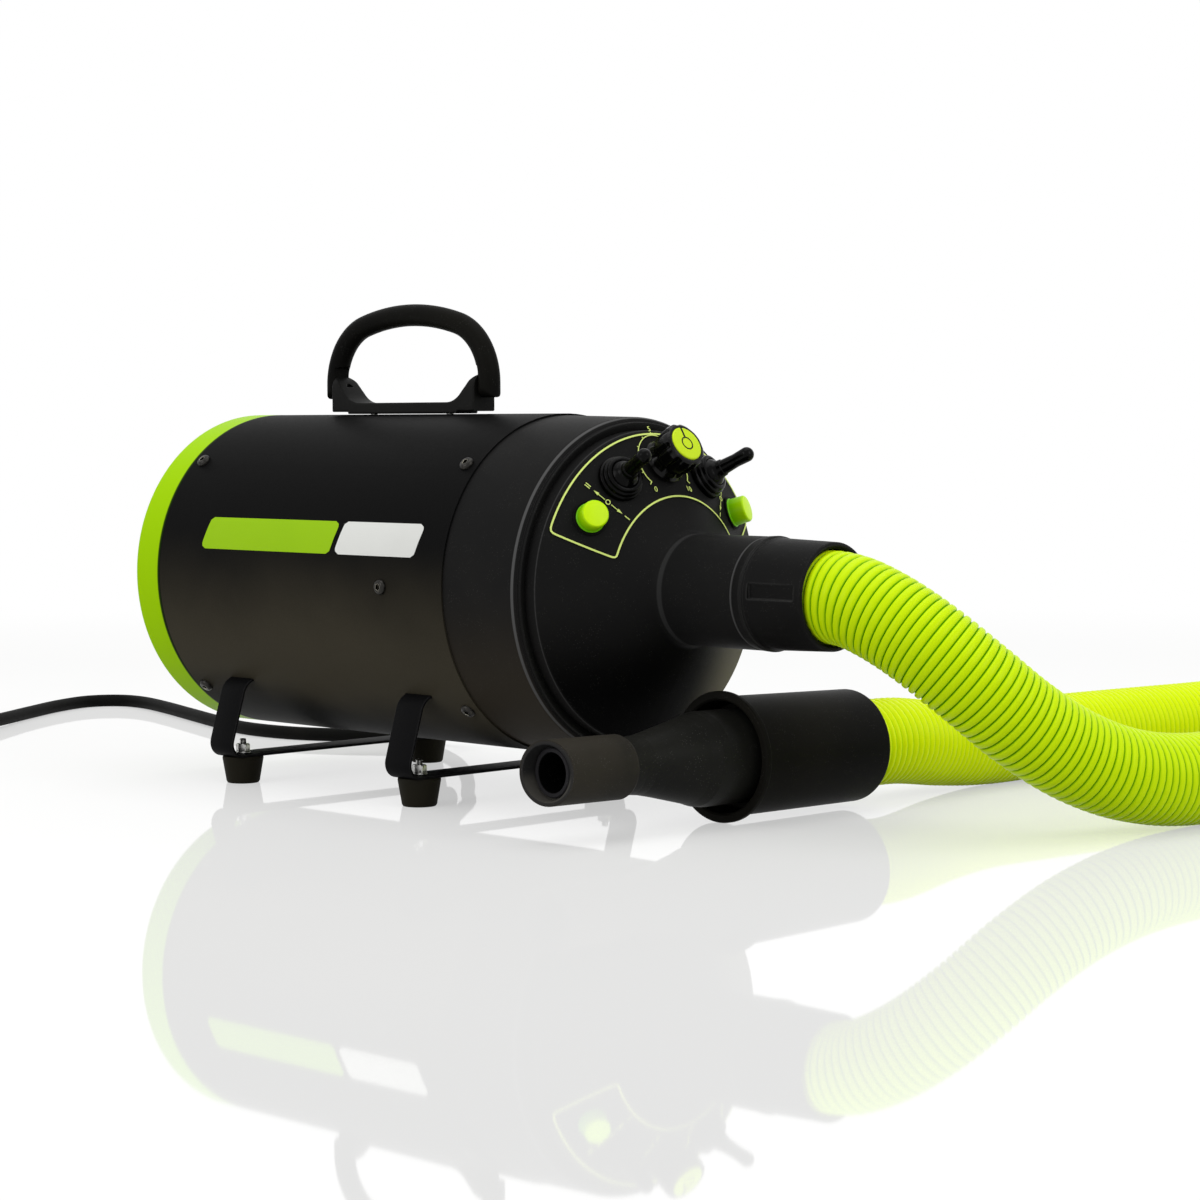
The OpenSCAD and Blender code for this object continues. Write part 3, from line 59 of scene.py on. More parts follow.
def limits(node):
    """Lowest and highest corner of a frame node, in millimetres."""
    low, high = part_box(node)
    return np.array(low) / MM, np.array(high) / MM


sleeve_low, sleeve_high = limits("body_sleeve")
SLEEVE_X0, SLEEVE_X1 = sleeve_low[0], sleeve_high[0]
BODY_R = (sleeve_high[2] - sleeve_low[2]) / 2
AXIS_Z = (sleeve_high[2] + sleeve_low[2]) / 2
TOP_Z = sleeve_high[2]
LIP_X = limits("front_housing")[1][0]
NECK_X1 = limits("front_cone")[1][0]


def middle_x(node):
    """The middle of a frame node along the drum, in millimetres."""
    low, high = limits(node)
    return (low[0] + high[0]) / 2


LEG_XS = {"rear": middle_x("leg_frame_rear"), "front": middle_x("leg_frame_front")}

# ---- Points, outlines and solids ----


def unit(v):
    """The vector, or each row of vectors, scaled to length 1."""
    v = np.asarray(v, float)
    return v / np.linalg.norm(v, axis=-1, keepdims=True)


def heading(path, closed=False):
    """The unit direction of a path at each of its points, from the points on both sides."""
    if closed:
        return unit(np.roll(path, -1, axis=0) - np.roll(path, 1, axis=0))
    return unit(np.gradient(path, axis=0))


def lengths_along(path):
    """How far along the path each of its points lies."""
    return np.concatenate([[0], np.cumsum(np.linalg.norm(np.diff(path, axis=0), axis=1))])


def full_turn(steps):
    """Angles at equal steps round a circle."""
    return np.arange(steps) * 2 * math.pi / steps


def polar(x, y, radius, degrees):
    """The point (x + R cos a, y + R sin a)."""
    a = math.radians(degrees)
    return x + radius * math.cos(a), y + radius * math.sin(a)


def arc(x, y, radius, start, end, steps):
    """Points round (x, y) at equal steps from one angle to another, in degrees."""
    return [polar(x, y, radius, a) for a in np.linspace(start, end, steps + 1)]


def rounded(corners, steps=5, closed=True):
    """The outline through corners (x, y) or (x, y, R), where each R becomes an arc tangent to both sides.

    With u, v the unit directions to the neighbours and h half the angle between them, the arc's
    centre is the corner + R / sin h along u + v, and it touches the sides R / tan h from the corner.
    """
    out = []
    n = len(corners)
    for i, corner in enumerate(corners):
        p = np.array(corner[:2], float)
        if len(corner) == 2 or (not closed and i in (0, n - 1)):
            out.append(p)
            continue
        a = np.array(corners[i - 1][:2], float) - p
        b = np.array(corners[(i + 1) % n][:2], float) - p
        u, v = unit(a), unit(b)
        half = math.acos(np.clip(u @ v, -1, 1)) / 2
        touch = min(corner[2] / math.tan(half), 0.49 * np.linalg.norm(a), 0.49 * np.linalg.norm(b))
        radius = touch * math.tan(half)
        centre = p + unit(u + v) * radius / math.sin(half)
        first, last = unit(p + u * touch - centre), unit(p + v * touch - centre)
        turn = math.acos(np.clip(first @ last, -1, 1))
        for t in np.linspace(0, 1, steps + 1):
            mix = math.sin((1 - t) * turn) * first + math.sin(t * turn) * last
            out.append(centre + radius * mix / math.sin(turn))
    return np.array(out)


def rounded_box(x0, y0, x1, y1, radius, steps=5):
    """A rectangle's outline with its four corners rounded."""
    return rounded([(x0, y0, radius), (x1, y0, radius), (x1, y1, radius), (x0, y1, radius)], steps)


def skin(rows, columns, wrap_rows=False, wrap_columns=False):
    """Quads of a grid whose point (i, j) has the number i * columns + j."""
    i = np.arange(rows if wrap_rows else rows - 1)[:, None]
    j = np.arange(columns if wrap_columns else columns - 1)[None, :]
    i2, j2 = (i + 1) % rows, (j + 1) % columns
    quads = np.stack(np.broadcast_arrays(i * columns + j, i2 * columns + j, i2 * columns + j2,
                                         i * columns + j2), -1)
    return [tuple(q) for q in quads.reshape(-1, 4).tolist()]


def volume(solid):
    """Six times the signed volume of (points, faces): the sum of a . (b x c) over the fans."""
    points, faces = solid
    total = 0.0
    by_size = {}
    for f in faces:
        by_size.setdefault(len(f), []).append(f)
    for size, group in by_size.items():
        p = points[np.array(group)]
        for k in range(1, size - 1):
            total += np.einsum("ij,ij->i", p[:, 0], np.cross(p[:, k], p[:, k + 1])).sum()
    return total


def outward(solid):
    """The solid with its faces turned so that they look out."""
    points, faces = solid
    points = np.asarray(points, float)
    if volume((points - points.mean(axis=0), faces)) < 0:
        faces = [tuple(reversed(f)) for f in faces]
    return points, faces


def join(solids):
    """One solid from several, each with its faces turned so that they look out."""
    points, faces, start = [], [], 0
    for p, f in map(outward, solids):
        points.append(p)
        faces += [tuple(i + start for i in face) for face in f]
        start += len(p)
    return np.vstack(points), faces


def rings_of(levels, t):
    """Rings (R cos t, R sin t, z) for levels (z, R), where each R is a number or an array over t."""
    return [np.column_stack([r * np.cos(t), r * np.sin(t), np.full(len(t), float(z))]) for z, r in levels]


def loft(rings, closed=False):
    """A solid through rings of equally many points: a closed loop of rings, or a run with filled ends."""
    rows, n = len(rings), len(rings[0])
    faces = skin(rows, n, wrap_rows=closed, wrap_columns=True)
    if not closed:
        faces.append(tuple(range(n)))
        faces.append(tuple(reversed(range((rows - 1) * n, rows * n))))
    return np.asarray(rings, float).reshape(-1, 3), faces


def lathe(outline, sides=96, closed=True):
    """The outline (z, r) turned about Z: points (r cos t, r sin t, z).

    An open outline starts and ends on the axis, where a fan of triangles closes it.
    """
    outline, t = np.asarray(outline, float), full_turn(sides)
    if closed:
        return loft(rings_of(outline, t), closed=True)
    inner = outline[1:-1]
    count = len(inner) * sides
    faces = skin(len(inner), sides, wrap_columns=True)
    rim, pole = np.arange(sides), np.full(sides, count)
    after, last = (rim + 1) % sides, count - sides
    fans = np.stack([pole, rim, after, pole + 1, last + after, last + rim], -1)
    faces += [tuple(f) for f in fans.reshape(-1, 3).tolist()]
    return np.vstack(rings_of(inner, t) + [[[0, 0, outline[0, 0]], [0, 0, outline[-1, 0]]]]), faces


def spun(corners, sides, steps=5):
    """Corners (z, r) or (z, r, R), from the axis back to the axis, with each R rounded, turned about Z."""
    return lathe(rounded(corners, steps, closed=False), sides, closed=False)


def extrude(outline, low, high, edge=0.0):
    """The closed outline (x, y) from z = low to high, with its rims cut back by edge at 45 degrees."""
    p = np.asarray(outline, float)
    before, after = unit(p - np.roll(p, 1, axis=0)), unit(np.roll(p, -1, axis=0) - p)
    area = np.sum(p[:, 0] * np.roll(p[:, 1], -1) - np.roll(p[:, 0], -1) * p[:, 1])
    normal = unit(before + after)[:, ::-1] * [1, -1] * np.sign(area)
    levels = [(low, 0), (high, 0)]
    if edge:
        levels = [(low, edge), (low + edge, 0), (high - edge, 0), (high, edge)]
    return loft([np.column_stack([p - normal * inset, np.full(len(p), z)]) for z, inset in levels])


def tube_rings(path, radii, sides, up=(0, 0, 1)):
    """Rings round a path: point + R (cos t side + sin t top), with side square to the path and up."""
    path = np.asarray(path, float)
    ahead = heading(path)
    side = unit(np.cross(ahead, np.broadcast_to(up, path.shape)))
    top = np.cross(side, ahead)
    t = full_turn(sides)[None, :, None]
    r = np.broadcast_to(radii, len(path))[:, None, None]
    return path[:, None, :] + r * (np.cos(t) * side[:, None, :] + np.sin(t) * top[:, None, :])


def placed(solid, matrix):
    """The solid moved by a 4 x 4 matrix in millimetres."""
    points, faces = solid
    m = np.array(matrix)
    return np.asarray(points, float) @ m[:3, :3].T + m[:3, 3], faces


def turned(axis, degrees):
    """A turn about one of the axes through the origin."""
    return Matrix.Rotation(math.radians(degrees), 4, axis)


def moved(x, y, z):
    """A shift in millimetres."""
    return Matrix.Translation((x, y, z))


ALONG_DRUM = moved(0, 0, AXIS_Z) @ turned("Y", 90)


def round_drum(x, a, r=BODY_R):
    """A place on the drum, x along it and a degrees round from the top, with +Z outward."""
    return moved(x, 0, AXIS_Z) @ turned("X", a) @ moved(0, 0, r)


def strap(path, across, width, thick, edge, closed=False):
    """A flat strap along a path, width wide along the unit vector across, with its four edges rounded."""
    path, across = np.asarray(path, float), np.asarray(across, float)
    normal = unit(np.cross(heading(path, closed), across))
    section = rounded_box(-width / 2, -thick / 2, width / 2, thick / 2, edge, 3)
    grid = path[:, None, :] + section[None, :, :1] * across + section[None, :, 1:] * normal[:, None, :]
    return loft(grid, closed)


def hexagon(flat, t):
    """Radius of a hexagon whose sides stand flat from its centre, at the angles t."""
    return flat / np.cos((t + math.pi / 6) % (math.pi / 3) - math.pi / 6)


def nut(across, height, bore):
    """A hexagonal nut whose corners are cut back by a cone at both ends."""
    t = full_turn(72)
    flat = across / 2
    six = hexagon(flat, t)
    face, side = np.minimum(six, flat * 0.98), np.minimum(six, flat * 1.16)
    levels = [(0, bore + 0.3), (0, face), (0.45, side), (height - 0.45, side), (height, face),
              (height, bore + 0.3), (height - 0.3, bore), (0.3, bore)]
    return loft(rings_of(levels, t), closed=True)


def socket_screw(head_r, head_h, shank_r, depth):
    """A button head with a hexagonal socket, seated at z = 0, over a plain shank."""
    t = full_turn(72)
    six = hexagon(head_r * 0.36, t)
    dome = [(0.3 + (head_h - 0.3) * math.sin(a), head_r * (0.54 + 0.46 * math.cos(a)))
            for a in np.radians(np.linspace(0, 90, 9))]
    levels = [(-depth, shank_r), (0, shank_r), (0, head_r - 0.15), (0.12, head_r)] + dome
    levels += [(head_h - 0.02, six + 0.12), (head_h - 0.2, six), (head_h - 1.5, six)]
    return loft(rings_of(levels, t))


def catmull(points, rings):
    """Catmull-Rom curve through the points, at equal steps of the length along their straight lines."""
    p = np.array(points, float)
    ends = np.vstack([2 * p[0] - p[1], p, 2 * p[-1] - p[-2]])
    length = lengths_along(p)
    u = np.interp(np.linspace(0, length[-1], rings), length, np.arange(len(p)))
    i = np.minimum(u.astype(int), len(p) - 2)
    t = (u - i)[:, None]
    a, b, c, d = ends[i], ends[i + 1], ends[i + 2], ends[i + 3]
    return b + t * (c - a) / 2 + t**2 * (2 * a - 5 * b + 4 * c - d) / 2 + t**3 * (3 * b - a - 3 * c + d) / 2


# ---- Materials ----


def add_node(tree, kind, settings=None, inputs=None):
    """A node of that type with its settings, and its inputs linked or set."""
    node = tree.nodes.new(kind)
    for key, value in (settings or {}).items():
        setattr(node, key, value)
    for key, value in (inputs or {}).items():
        value = value.socket if isinstance(value, Maths) else value
        if isinstance(value, bpy.types.NodeSocket):
            tree.links.new(value, node.inputs[key])
        else:
            node.inputs[key].default_value = value
    return node


class Maths:
    """A number socket of a node tree, so that sums of sockets and numbers are written as formulas."""

    def __init__(self, tree, socket):
        self.tree = tree
        self.socket = socket

    def apply(self, operation, first, second=0.0):
        """The result of one maths node."""
        node = add_node(self.tree, "ShaderNodeMath", {"operation": operation}, {0: first, 1: second})
        return Maths(self.tree, node.outputs[0])

    def __add__(self, other):
        return self.apply("ADD", self, other)

    def __sub__(self, other):
        return self.apply("SUBTRACT", self, other)

    def __rsub__(self, other):
        return self.apply("SUBTRACT", other, self)

    def __mul__(self, other):
        return self.apply("MULTIPLY", self, other)

    __radd__ = __add__
    __rmul__ = __mul__

    def power(self, other):
        return self.apply("POWER", self, other)

    def least(self, other):
        return self.apply("MINIMUM", self, other)

    def most(self, other):
        return self.apply("MAXIMUM", self, other)

    def wave(self):
        return self.apply("SINE", self)

    def ramp(self, low, high):
        """0 up to low, 1 from high on and smooth between them; falling where high is below low."""
        node = add_node(self.tree, "ShaderNodeMapRange", {"interpolation_type": "SMOOTHSTEP"},
                        {0: self, 1: low, 2: high})
        return Maths(self.tree, node.outputs[0])


class Paint:
    """A procedural material with one Principled shader."""

    def __init__(self, name, **constants):
        self.material = bpy.data.materials.new(name)
        self.material.use_nodes = True
        self.tree = self.material.node_tree
        self.shader = self.tree.nodes["Principled BSDF"]
        coordinates = self.node("ShaderNodeTexCoord").outputs
        self.place, self.uv = coordinates["Object"], coordinates["UV"]
        for key, value in constants.items():
            self.shader.inputs[key.replace("_", " ")].default_value = value

    def node(self, kind, settings=None, inputs=None):
        """A node of this material."""
        return add_node(self.tree, kind, settings, inputs)

    def noise(self, scale, detail=2.0, stretch=(1, 1, 1)):
        """Noise of scale lumps a metre, on the object's own coordinates."""
        where = self.node("ShaderNodeMapping", {}, {0: self.place, 3: stretch}).outputs[0]
        node = self.node("ShaderNodeTexNoise", {}, {"Vector": where, "Scale": scale, "Detail": detail})
        return Maths(self.tree, node.outputs[0])

    def cells(self, scale):
        """Distance to the nearest of scattered points, scale of them a metre."""
        node = self.node("ShaderNodeTexVoronoi", {}, {"Vector": self.place, "Scale": scale})
        return Maths(self.tree, node.outputs["Distance"])

    def axis(self, index, source=None):
        """One coordinate of the place on the object, or of another vector socket."""
        node = self.node("ShaderNodeSeparateXYZ", {}, {0: source or self.place})
        return Maths(self.tree, node.outputs[index])

    def vector(self, operation, *vectors):
        """Vector maths: a number for a length or a dot product, and a vector socket for the others."""
        node = self.node("ShaderNodeVectorMath", {"operation": operation}, dict(enumerate(vectors)))
        if operation in ("LENGTH", "DOT_PRODUCT"):
            return Maths(self.tree, node.outputs["Value"])
        return node.outputs["Vector"]

    def mix(self, factor, low, high):
        """The colour low where factor is 0 and high where it is 1."""
        node = self.node("ShaderNodeMix", {"data_type": "RGBA"}, {0: factor, 6: low, 7: high})
        return node.outputs[2]

    def bevel(self, radius):
        """The surface's normal with its edges rounded by radius millimetres."""
        return self.node("ShaderNodeBevel", {"samples": 4}, {"Radius": radius * MM}).outputs[0]

    def edges(self, radius):
        """Nearly 1 along outer edges and 0 elsewhere, from the rounded normal's lean; it marks wear and
        painted highlight.
        """
        flat = self.node("ShaderNodeNewGeometry").outputs["Normal"]
        return (1 - self.vector("DOT_PRODUCT", self.bevel(radius), flat)).ramp(0.01, 0.14)

    def set(self, name, value):
        """Links a number or a socket to one of the shader's inputs."""
        self.tree.links.new(value.socket if isinstance(value, Maths) else value, self.shader.inputs[name])

    def finish(self, colour, rough, height, depth, edge=0.0):
        """The material with its colour, its roughness and a fine relief, over edges rounded by edge.

        The relief stands depth millimetres high where height is 1.
        """
        relief = {"Height": height, "Distance": depth * MM, "Strength": 1.0}
        if edge:
            relief["Normal"] = self.bevel(edge)
        self.set("Base Color", colour)
        self.set("Roughness", rough)
        self.set("Normal", self.node("ShaderNodeBump", {}, relief).outputs[0])
        return self.material


def rgb(red, green, blue):
    """An sRGB colour given from 0 to 255, as the linear colour that nodes use."""
    c = np.array([red, green, blue]) / 255
    linear = np.where(c <= 0.04045, c / 12.92, ((c + 0.055) / 1.055) ** 2.4)
    return (*linear.tolist(), 1.0)


def moulding(name, colour, dusty, rough, grain=2600, gloss=0.1, edge=0.0, specks=0.0, wear_and_painted_light=None):
    """Moulded plastic: a fine grain in the gloss, faint flow marks, some dust and a few pale specks.

    A piece's function of (paint, colour, dull, cloud, smear) gives the colour and the roughness of its own
    marks and of the light and shade painted on it.
    """
    p = Paint(name, Specular_IOR_Level=gloss)
    cloud = p.noise(9, 4)
    fine = p.noise(grain, 2)
    smear = p.noise(26, 3, (0.3, 1, 1))
    speck = (1 - p.cells(900).ramp(0.1, 0.2)) * p.noise(120, 2).ramp(0.45, 0.6)
    dust_and_painted_light = p.mix(cloud.ramp(0.35, 0.75), colour, dusty)
    dull = rough - 0.05 + cloud * 0.06 + smear * 0.08 + fine * 0.05
    if wear_and_painted_light:
        dust_and_painted_light, dull = wear_and_painted_light(p, dust_and_painted_light, dull, cloud, smear)
    elif edge:
        # edge pales the edges: partly wear, partly a painted highlight on the rounded edges
        dust_and_painted_light = p.mix(p.edges(edge) * 0.75, dust_and_painted_light, rgb(66, 66, 65))
    return p.finish(p.mix(speck * specks, dust_and_painted_light, rgb(96, 95, 92)),
                    dull, fine * 0.7 + smear * 0.3, 0.09, edge)


RIM_HIGHLIGHTS = (  # x, radius, width and strength of the painted highlight along each rim of the drum's front
    (LIP_X - 1.4, BODY_R - 2.3, 1.0, 0.8),
    (LIP_X, BODY_R - 4.9, 0.5, 0.35),
    (LIP_X + 7.9, 80.4, 0.7, 0.55),
    (NECK_X1 - 49, 28.8, 2.2, 0.22),
    (NECK_X1 - 0.4, 28.1, 0.9, 0.8),
)
SHADING_TOP, SHADING_FADE = 120, 60  # height up to which the front carries painted shade and floor reflection, and how far below it they are full
FAR_START, FAR_END = 10, 65  # y from which the far side's painted floor reflection starts, and where it is full
DISH_R, DISH_RIM_R = 80, 81.5  # the cone's own plate is painted darker low down: painted shade
SHELL_R0, SHELL_R1 = 86, 88  # the housing round it is painted warmer there: a painted floor reflection


def front_painted_light(p, colour, dull, cloud, smear):
    """The drum's front, painted with shade and floor reflection low down and with highlights along its
    rims.

    A rim's line is at full strength within width / 2 of the rim's circle, and gone from width on.
    """
    up = p.axis(2) - AXIS_Z * MM
    out = (up * up + p.axis(1) * p.axis(1)).power(0.5)
    low = (SHADING_TOP * MM - p.axis(2)).ramp(0, SHADING_FADE * MM)
    far = p.axis(1).ramp(FAR_START * MM, FAR_END * MM)
    near = low * (1 - far)
    # painted shade on the cone's plate, low on the near side
    colour = p.mix(near * out.ramp(DISH_RIM_R * MM, DISH_R * MM), colour, rgb(6, 6, 6))
    # warm painted floor reflection on the housing, low on the near side
    colour = p.mix(near * out.ramp(SHELL_R0 * MM, SHELL_R1 * MM) * 0.8, colour, rgb(48, 43, 35))
    # pale, patchy painted floor reflection, low on the far side
    colour = p.mix(low * far * (cloud + 0.3).least(0.8), colour, rgb(128, 122, 102))
    # painted highlights along the rims
    for x, radius, width, strength in RIM_HIGHLIGHTS:
        along, beside = p.axis(0) - x * MM, out - radius * MM
        gap = (along * along + beside * beside).power(0.5)
        level = (1 - gap.ramp(width / 2 * MM, width * MM)) * strength
        colour = p.mix(level, colour, rgb(88, 88, 88))
    return colour, dull


def make_black_paint(name, high, low, edge=0.0):
    """Powder coat: orange-peel lumps under a half gloss, paler and warmer in a band low down: a painted
    floor reflection.
    """
    p = Paint(name, Specular_IOR_Level=0.018)
    cloud = p.noise(7, 4)
    peel = p.noise(900, 2)
    pale_level = p.axis(2) + cloud * 0.06
    # the low colour fills a band low on the drum and fades out above and below it: a painted reflection of
    # the floor
    colour = p.mix(pale_level.ramp(0.1, 0.17) + pale_level.ramp(0.09, 0.06), low, high)
    if edge:
        # pale edges: partly wear, partly a painted highlight
        colour = p.mix(p.edges(edge) * 0.8, colour, rgb(70, 69, 70))
    sleeve = p.axis(0).ramp((SLEEVE_X0 + 0.2) * MM, (SLEEVE_X0 + 0.9) * MM)  # dark at its rear seam
    return p.finish(p.mix(sleeve, rgb(5, 8, 2), colour),
                    0.4 + cloud * 0.1 + peel * 0.08, peel * 0.75 + p.cells(1500) * 0.25, 0.12)


def make_green_shell():
    """Glossy lime plastic with faint flow marks and fine scratches."""
    p = Paint("green_shell", Specular_IOR_Level=0.02)
    cloud = p.noise(8, 3)
    flow = p.noise(34, 3, (1, 0.25, 0.25))
    scratch = p.noise(240, 2, (1, 0.04, 0.04)).ramp(0.66, 0.75)
    colour = p.mix(cloud, rgb(152, 202, 0), rgb(164, 213, 4))
    seam = p.axis(0).ramp((SLEEVE_X0 - 2.4) * MM, (SLEEVE_X0 - 1.0) * MM)
    return p.finish(p.mix(seam, colour, rgb(22, 42, 0)), 0.3 + flow * 0.1 + scratch * 0.12, flow, 0.05)


def make_hose():
    """Glossy lime vinyl with painted shade in its grooves: the UV map has the metres along it and the ribs'
    height.
    """
    p = Paint("green_hose", Specular_IOR_Level=0.07)
    along, height = p.axis(0, p.uv), p.axis(1, p.uv)
    far, rear = along.ramp(0.2, 0.45), along.ramp(1.1, 1.5)
    cloud = p.noise(11, 3)
    grime = p.noise(120, 3)
    # farther along, the crests are painted brighter and the grooves' painted shade fades: painted light
    near_crest = p.mix(cloud, rgb(198, 230, 0), rgb(206, 237, 0))
    far_crest = p.mix(cloud, rgb(218, 240, 0), rgb(224, 246, 0))
    groove_shade = p.mix(far, rgb(104, 176, 0), p.mix(rear, rgb(156, 204, 0), rgb(196, 226, 0)))
    crest = height.ramp(0.15, 0.75) * (1 - grime * 0.08)
    return p.finish(p.mix(crest, groove_shade, p.mix(far, near_crest, far_crest)),
                    0.3 + grime * 0.12 + (1 - height) * 0.12, grime, 0.06)


def make_rubber(name, colour, rough=0.55):
    """Rubber with a soft matt skin, fine grain and paler dust in patches."""
    p = Paint(name, Specular_IOR_Level=0.05)
    grain = p.noise(1900, 2)
    pale_level = p.noise(45, 4).ramp(0.45, 0.9)
    return p.finish(p.mix(pale_level * 0.5, colour, rgb(32, 31, 28)),
                    rough + grain * 0.12 + pale_level * 0.1, grain, 0.08)


def make_steel(name, colour, pale_colour, rough):
    """Plated steel: brushed lines round it, dull spots, and bright edges, partly wear, partly painted
    highlight.
    """
    p = Paint(name, Metallic=1.0)
    spots = p.noise(420, 4)
    lines = p.noise(1500, 2, (1, 1, 0.06))
    wear_and_painted_light = p.edges(0.6)
    return p.finish(p.mix(wear_and_painted_light.most(spots.ramp(0.62, 0.8) * 0.25), colour, pale_colour),
                    rough + spots * 0.16 - wear_and_painted_light * 0.08, lines, 0.03)


def make_lens():
    """Clear green lens plastic with a glow: painted deep green shade at its foot, where UV's v is 0, and
    pale painted light on top.
    """
    p = Paint("green_lens", Specular_IOR_Level=0.12, Emission_Strength=0.12)
    cloud = p.noise(160, 3)
    pale = p.mix(cloud, rgb(184, 224, 0), rgb(194, 232, 0))
    colour = p.mix(p.axis(1, p.uv).ramp(0.0, 1.0), rgb(88, 170, 0), pale)
    p.set("Emission Color", colour)
    return p.finish(colour, 0.24 + cloud * 0.12, cloud, 0.04)


def make_winding():
    """Varnished copper wire over laminations: fine turns as ridges."""
    p = Paint("wound_field", Metallic=0.7)
    turns = (p.axis(0) * 9000).wave() * 0.5 + 0.5
    varnish = p.noise(60, 3)
    return p.finish(p.mix(varnish, rgb(150, 84, 40), rgb(190, 116, 60)), 0.35 + varnish * 0.25, turns, 0.2)


def make_foam():
    """Open foam: dark pores in a grey mesh."""
    p = Paint("grey_foam", Specular_IOR_Level=0.2)
    pores = p.cells(700)
    cloud = p.noise(30, 3)
    mesh = p.mix(cloud, rgb(74, 74, 78), rgb(92, 92, 96))
    return p.finish(p.mix(pores.ramp(0.25, 0.6), rgb(28, 28, 30), mesh), 0.9 - cloud * 0.1, pores, 0.6)


def make_board():
    """Green solder mask with copper tracks showing through in a square pattern."""
    p = Paint("circuit_board", Specular_IOR_Level=0.5)
    track = ((p.axis(0) * 900).wave() * (p.axis(1) * 700).wave()).ramp(0.3, 0.4)
    cloud = p.noise(90, 2)
    return p.finish(p.mix(track, rgb(14, 74, 40), rgb(40, 112, 62)), 0.35 + cloud * 0.2, track, 0.08)


# edge also pales the edges where no piece function is given: partly wear, partly a painted highlight
BLACK = {
    "body": moulding("black_moulding", rgb(15, 15, 15), rgb(22, 22, 20), 0.42, gloss=0.06, edge=0.6,
                     specks=0.25),
    "front": moulding("black_cone", rgb(25, 25, 25), rgb(33, 32, 31), 0.4, 3200, gloss=0.02, edge=1.2,
                      specks=0.3, wear_and_painted_light=front_painted_light),
    "cuff": moulding("black_cuff", rgb(15, 15, 15), rgb(23, 22, 21), 0.42, 3200, gloss=0.045, edge=1.4,
                     specks=0.35),
    "grip": moulding("black_grip", rgb(15, 15, 15), rgb(25, 24, 20), 0.36, 2200, gloss=0.015, specks=0.3),
}
MATERIALS = {
    # its second colour is the painted floor reflection in the band low on the drum
    "black_paint": make_black_paint("black_paint", rgb(13, 13, 13), rgb(60, 56, 46)),
    "green_shell": make_green_shell(),
    "black_moulding": BLACK["body"],
    "green_lens": make_lens(),
    "green_hose": make_hose(),
    "black_rubber": make_rubber("black_rubber", rgb(10, 10, 9)),
    "bright_steel": make_steel("bright_steel", rgb(188, 188, 186), rgb(226, 226, 224), 0.26),
    "cast_aluminium": make_steel("cast_aluminium", rgb(160, 162, 165), rgb(205, 206, 208), 0.42),
    "wound_field": make_winding(),
    "brass_parts": make_steel("brass_parts", rgb(190, 150, 70), rgb(224, 190, 110), 0.3),
    "grey_foam": make_foam(),
    "circuit_board": make_board(),
}
# the pale colour on the screws' edges is partly wear and partly a painted highlight
DARK_ZINC = make_steel("dark_zinc", rgb(46, 45, 43), rgb(150, 146, 132), 0.26)
WHITE_INK = moulding("white_ink", rgb(225, 226, 222), rgb(205, 206, 202), 0.5)
GREEN_INK = moulding("green_ink", rgb(150, 196, 6), rgb(138, 188, 4), 0.45)
PANEL_INK = moulding("panel_ink", rgb(216, 233, 128), rgb(206, 226, 108), 0.45)
FOOT_RUBBER = make_rubber("foot_rubber", rgb(30, 28, 21))
STRAP_BLACK = make_black_paint("strap_black", rgb(15, 15, 16), rgb(17, 17, 18), 0.9)
CAP_GREEN = moulding("cap_green", rgb(196, 224, 24), rgb(186, 217, 14), 0.36, gloss=0.15)
RUBBER_GLOSS = moulding("gloss_rubber", rgb(4, 4, 4), rgb(8, 8, 8), 0.13, 1500, 0.07)
KNOB_BLACK = moulding("knob_black", rgb(5, 5, 5), rgb(8, 8, 8), 0.14, 1800, 0.14)

NODE_MATERIALS = {"sleeve_screws": DARK_ZINC, "handle_pins": BLACK["body"],
                  "front_cone": BLACK["front"], "front_housing": BLACK["front"]}

SLOTS = {entry["node"]: entry["material_slot"] for entry in frame["record"]["subparts"]}


def dress(node, material):
    """Gives a frame node its material."""
    frame["nodes"][node].data.materials.clear()
    frame["nodes"][node].data.materials.append(material)


for node, slot in SLOTS.items():
    dress(node, NODE_MATERIALS.get(node, MATERIALS[slot]))


def mesh_of(name, solids):
    """A mesh in metres from one solid or several in millimetres."""
    points, faces = join(solids if isinstance(solids, list) else [solids])
    mesh = bpy.data.meshes.new(name)
    mesh.from_pydata((points * MM).tolist(), [], faces)
    mesh.update()
    return mesh


def cut_out(mesh, cutters):
    """The mesh less the cutters, which are solids in millimetres."""
    body = bpy.data.objects.new("cut_body", mesh)
    tool = bpy.data.objects.new("cut_tool", mesh_of("tool", cutters))
    for obj in (body, tool):
        bpy.context.scene.collection.objects.link(obj)
    change = body.modifiers.new("cut", "BOOLEAN")
    change.operation, change.object, change.solver = "DIFFERENCE", tool, "EXACT"
    result = bpy.data.meshes.new_from_object(body.evaluated_get(bpy.context.evaluated_depsgraph_get()))
    for obj in (body, tool):
        bpy.data.objects.remove(obj)
    return result


def piece(name, solids, slot, material=None, replaces=(), body="dryer", sharp=35, cutters=None):
    """A mesh object from solids in millimetres that rides on a body, smooth but for its sharp edges."""
    mesh = mesh_of(name, solids)
    if cutters:
        mesh = cut_out(mesh, cutters)
        mesh.name = name
        mesh.materials.clear()
    mesh.polygons.foreach_set("use_smooth", np.ones(len(mesh.polygons), bool))
    mesh.set_sharp_from_angle(angle=math.radians(sharp))
    mesh.materials.append(material or MATERIALS[slot])
    obj = bpy.data.objects.new(name, mesh)
    bpy.context.scene.collection.objects.link(obj)
    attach(obj, body)
    if replaces:
        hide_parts(*replaces)
    return obj


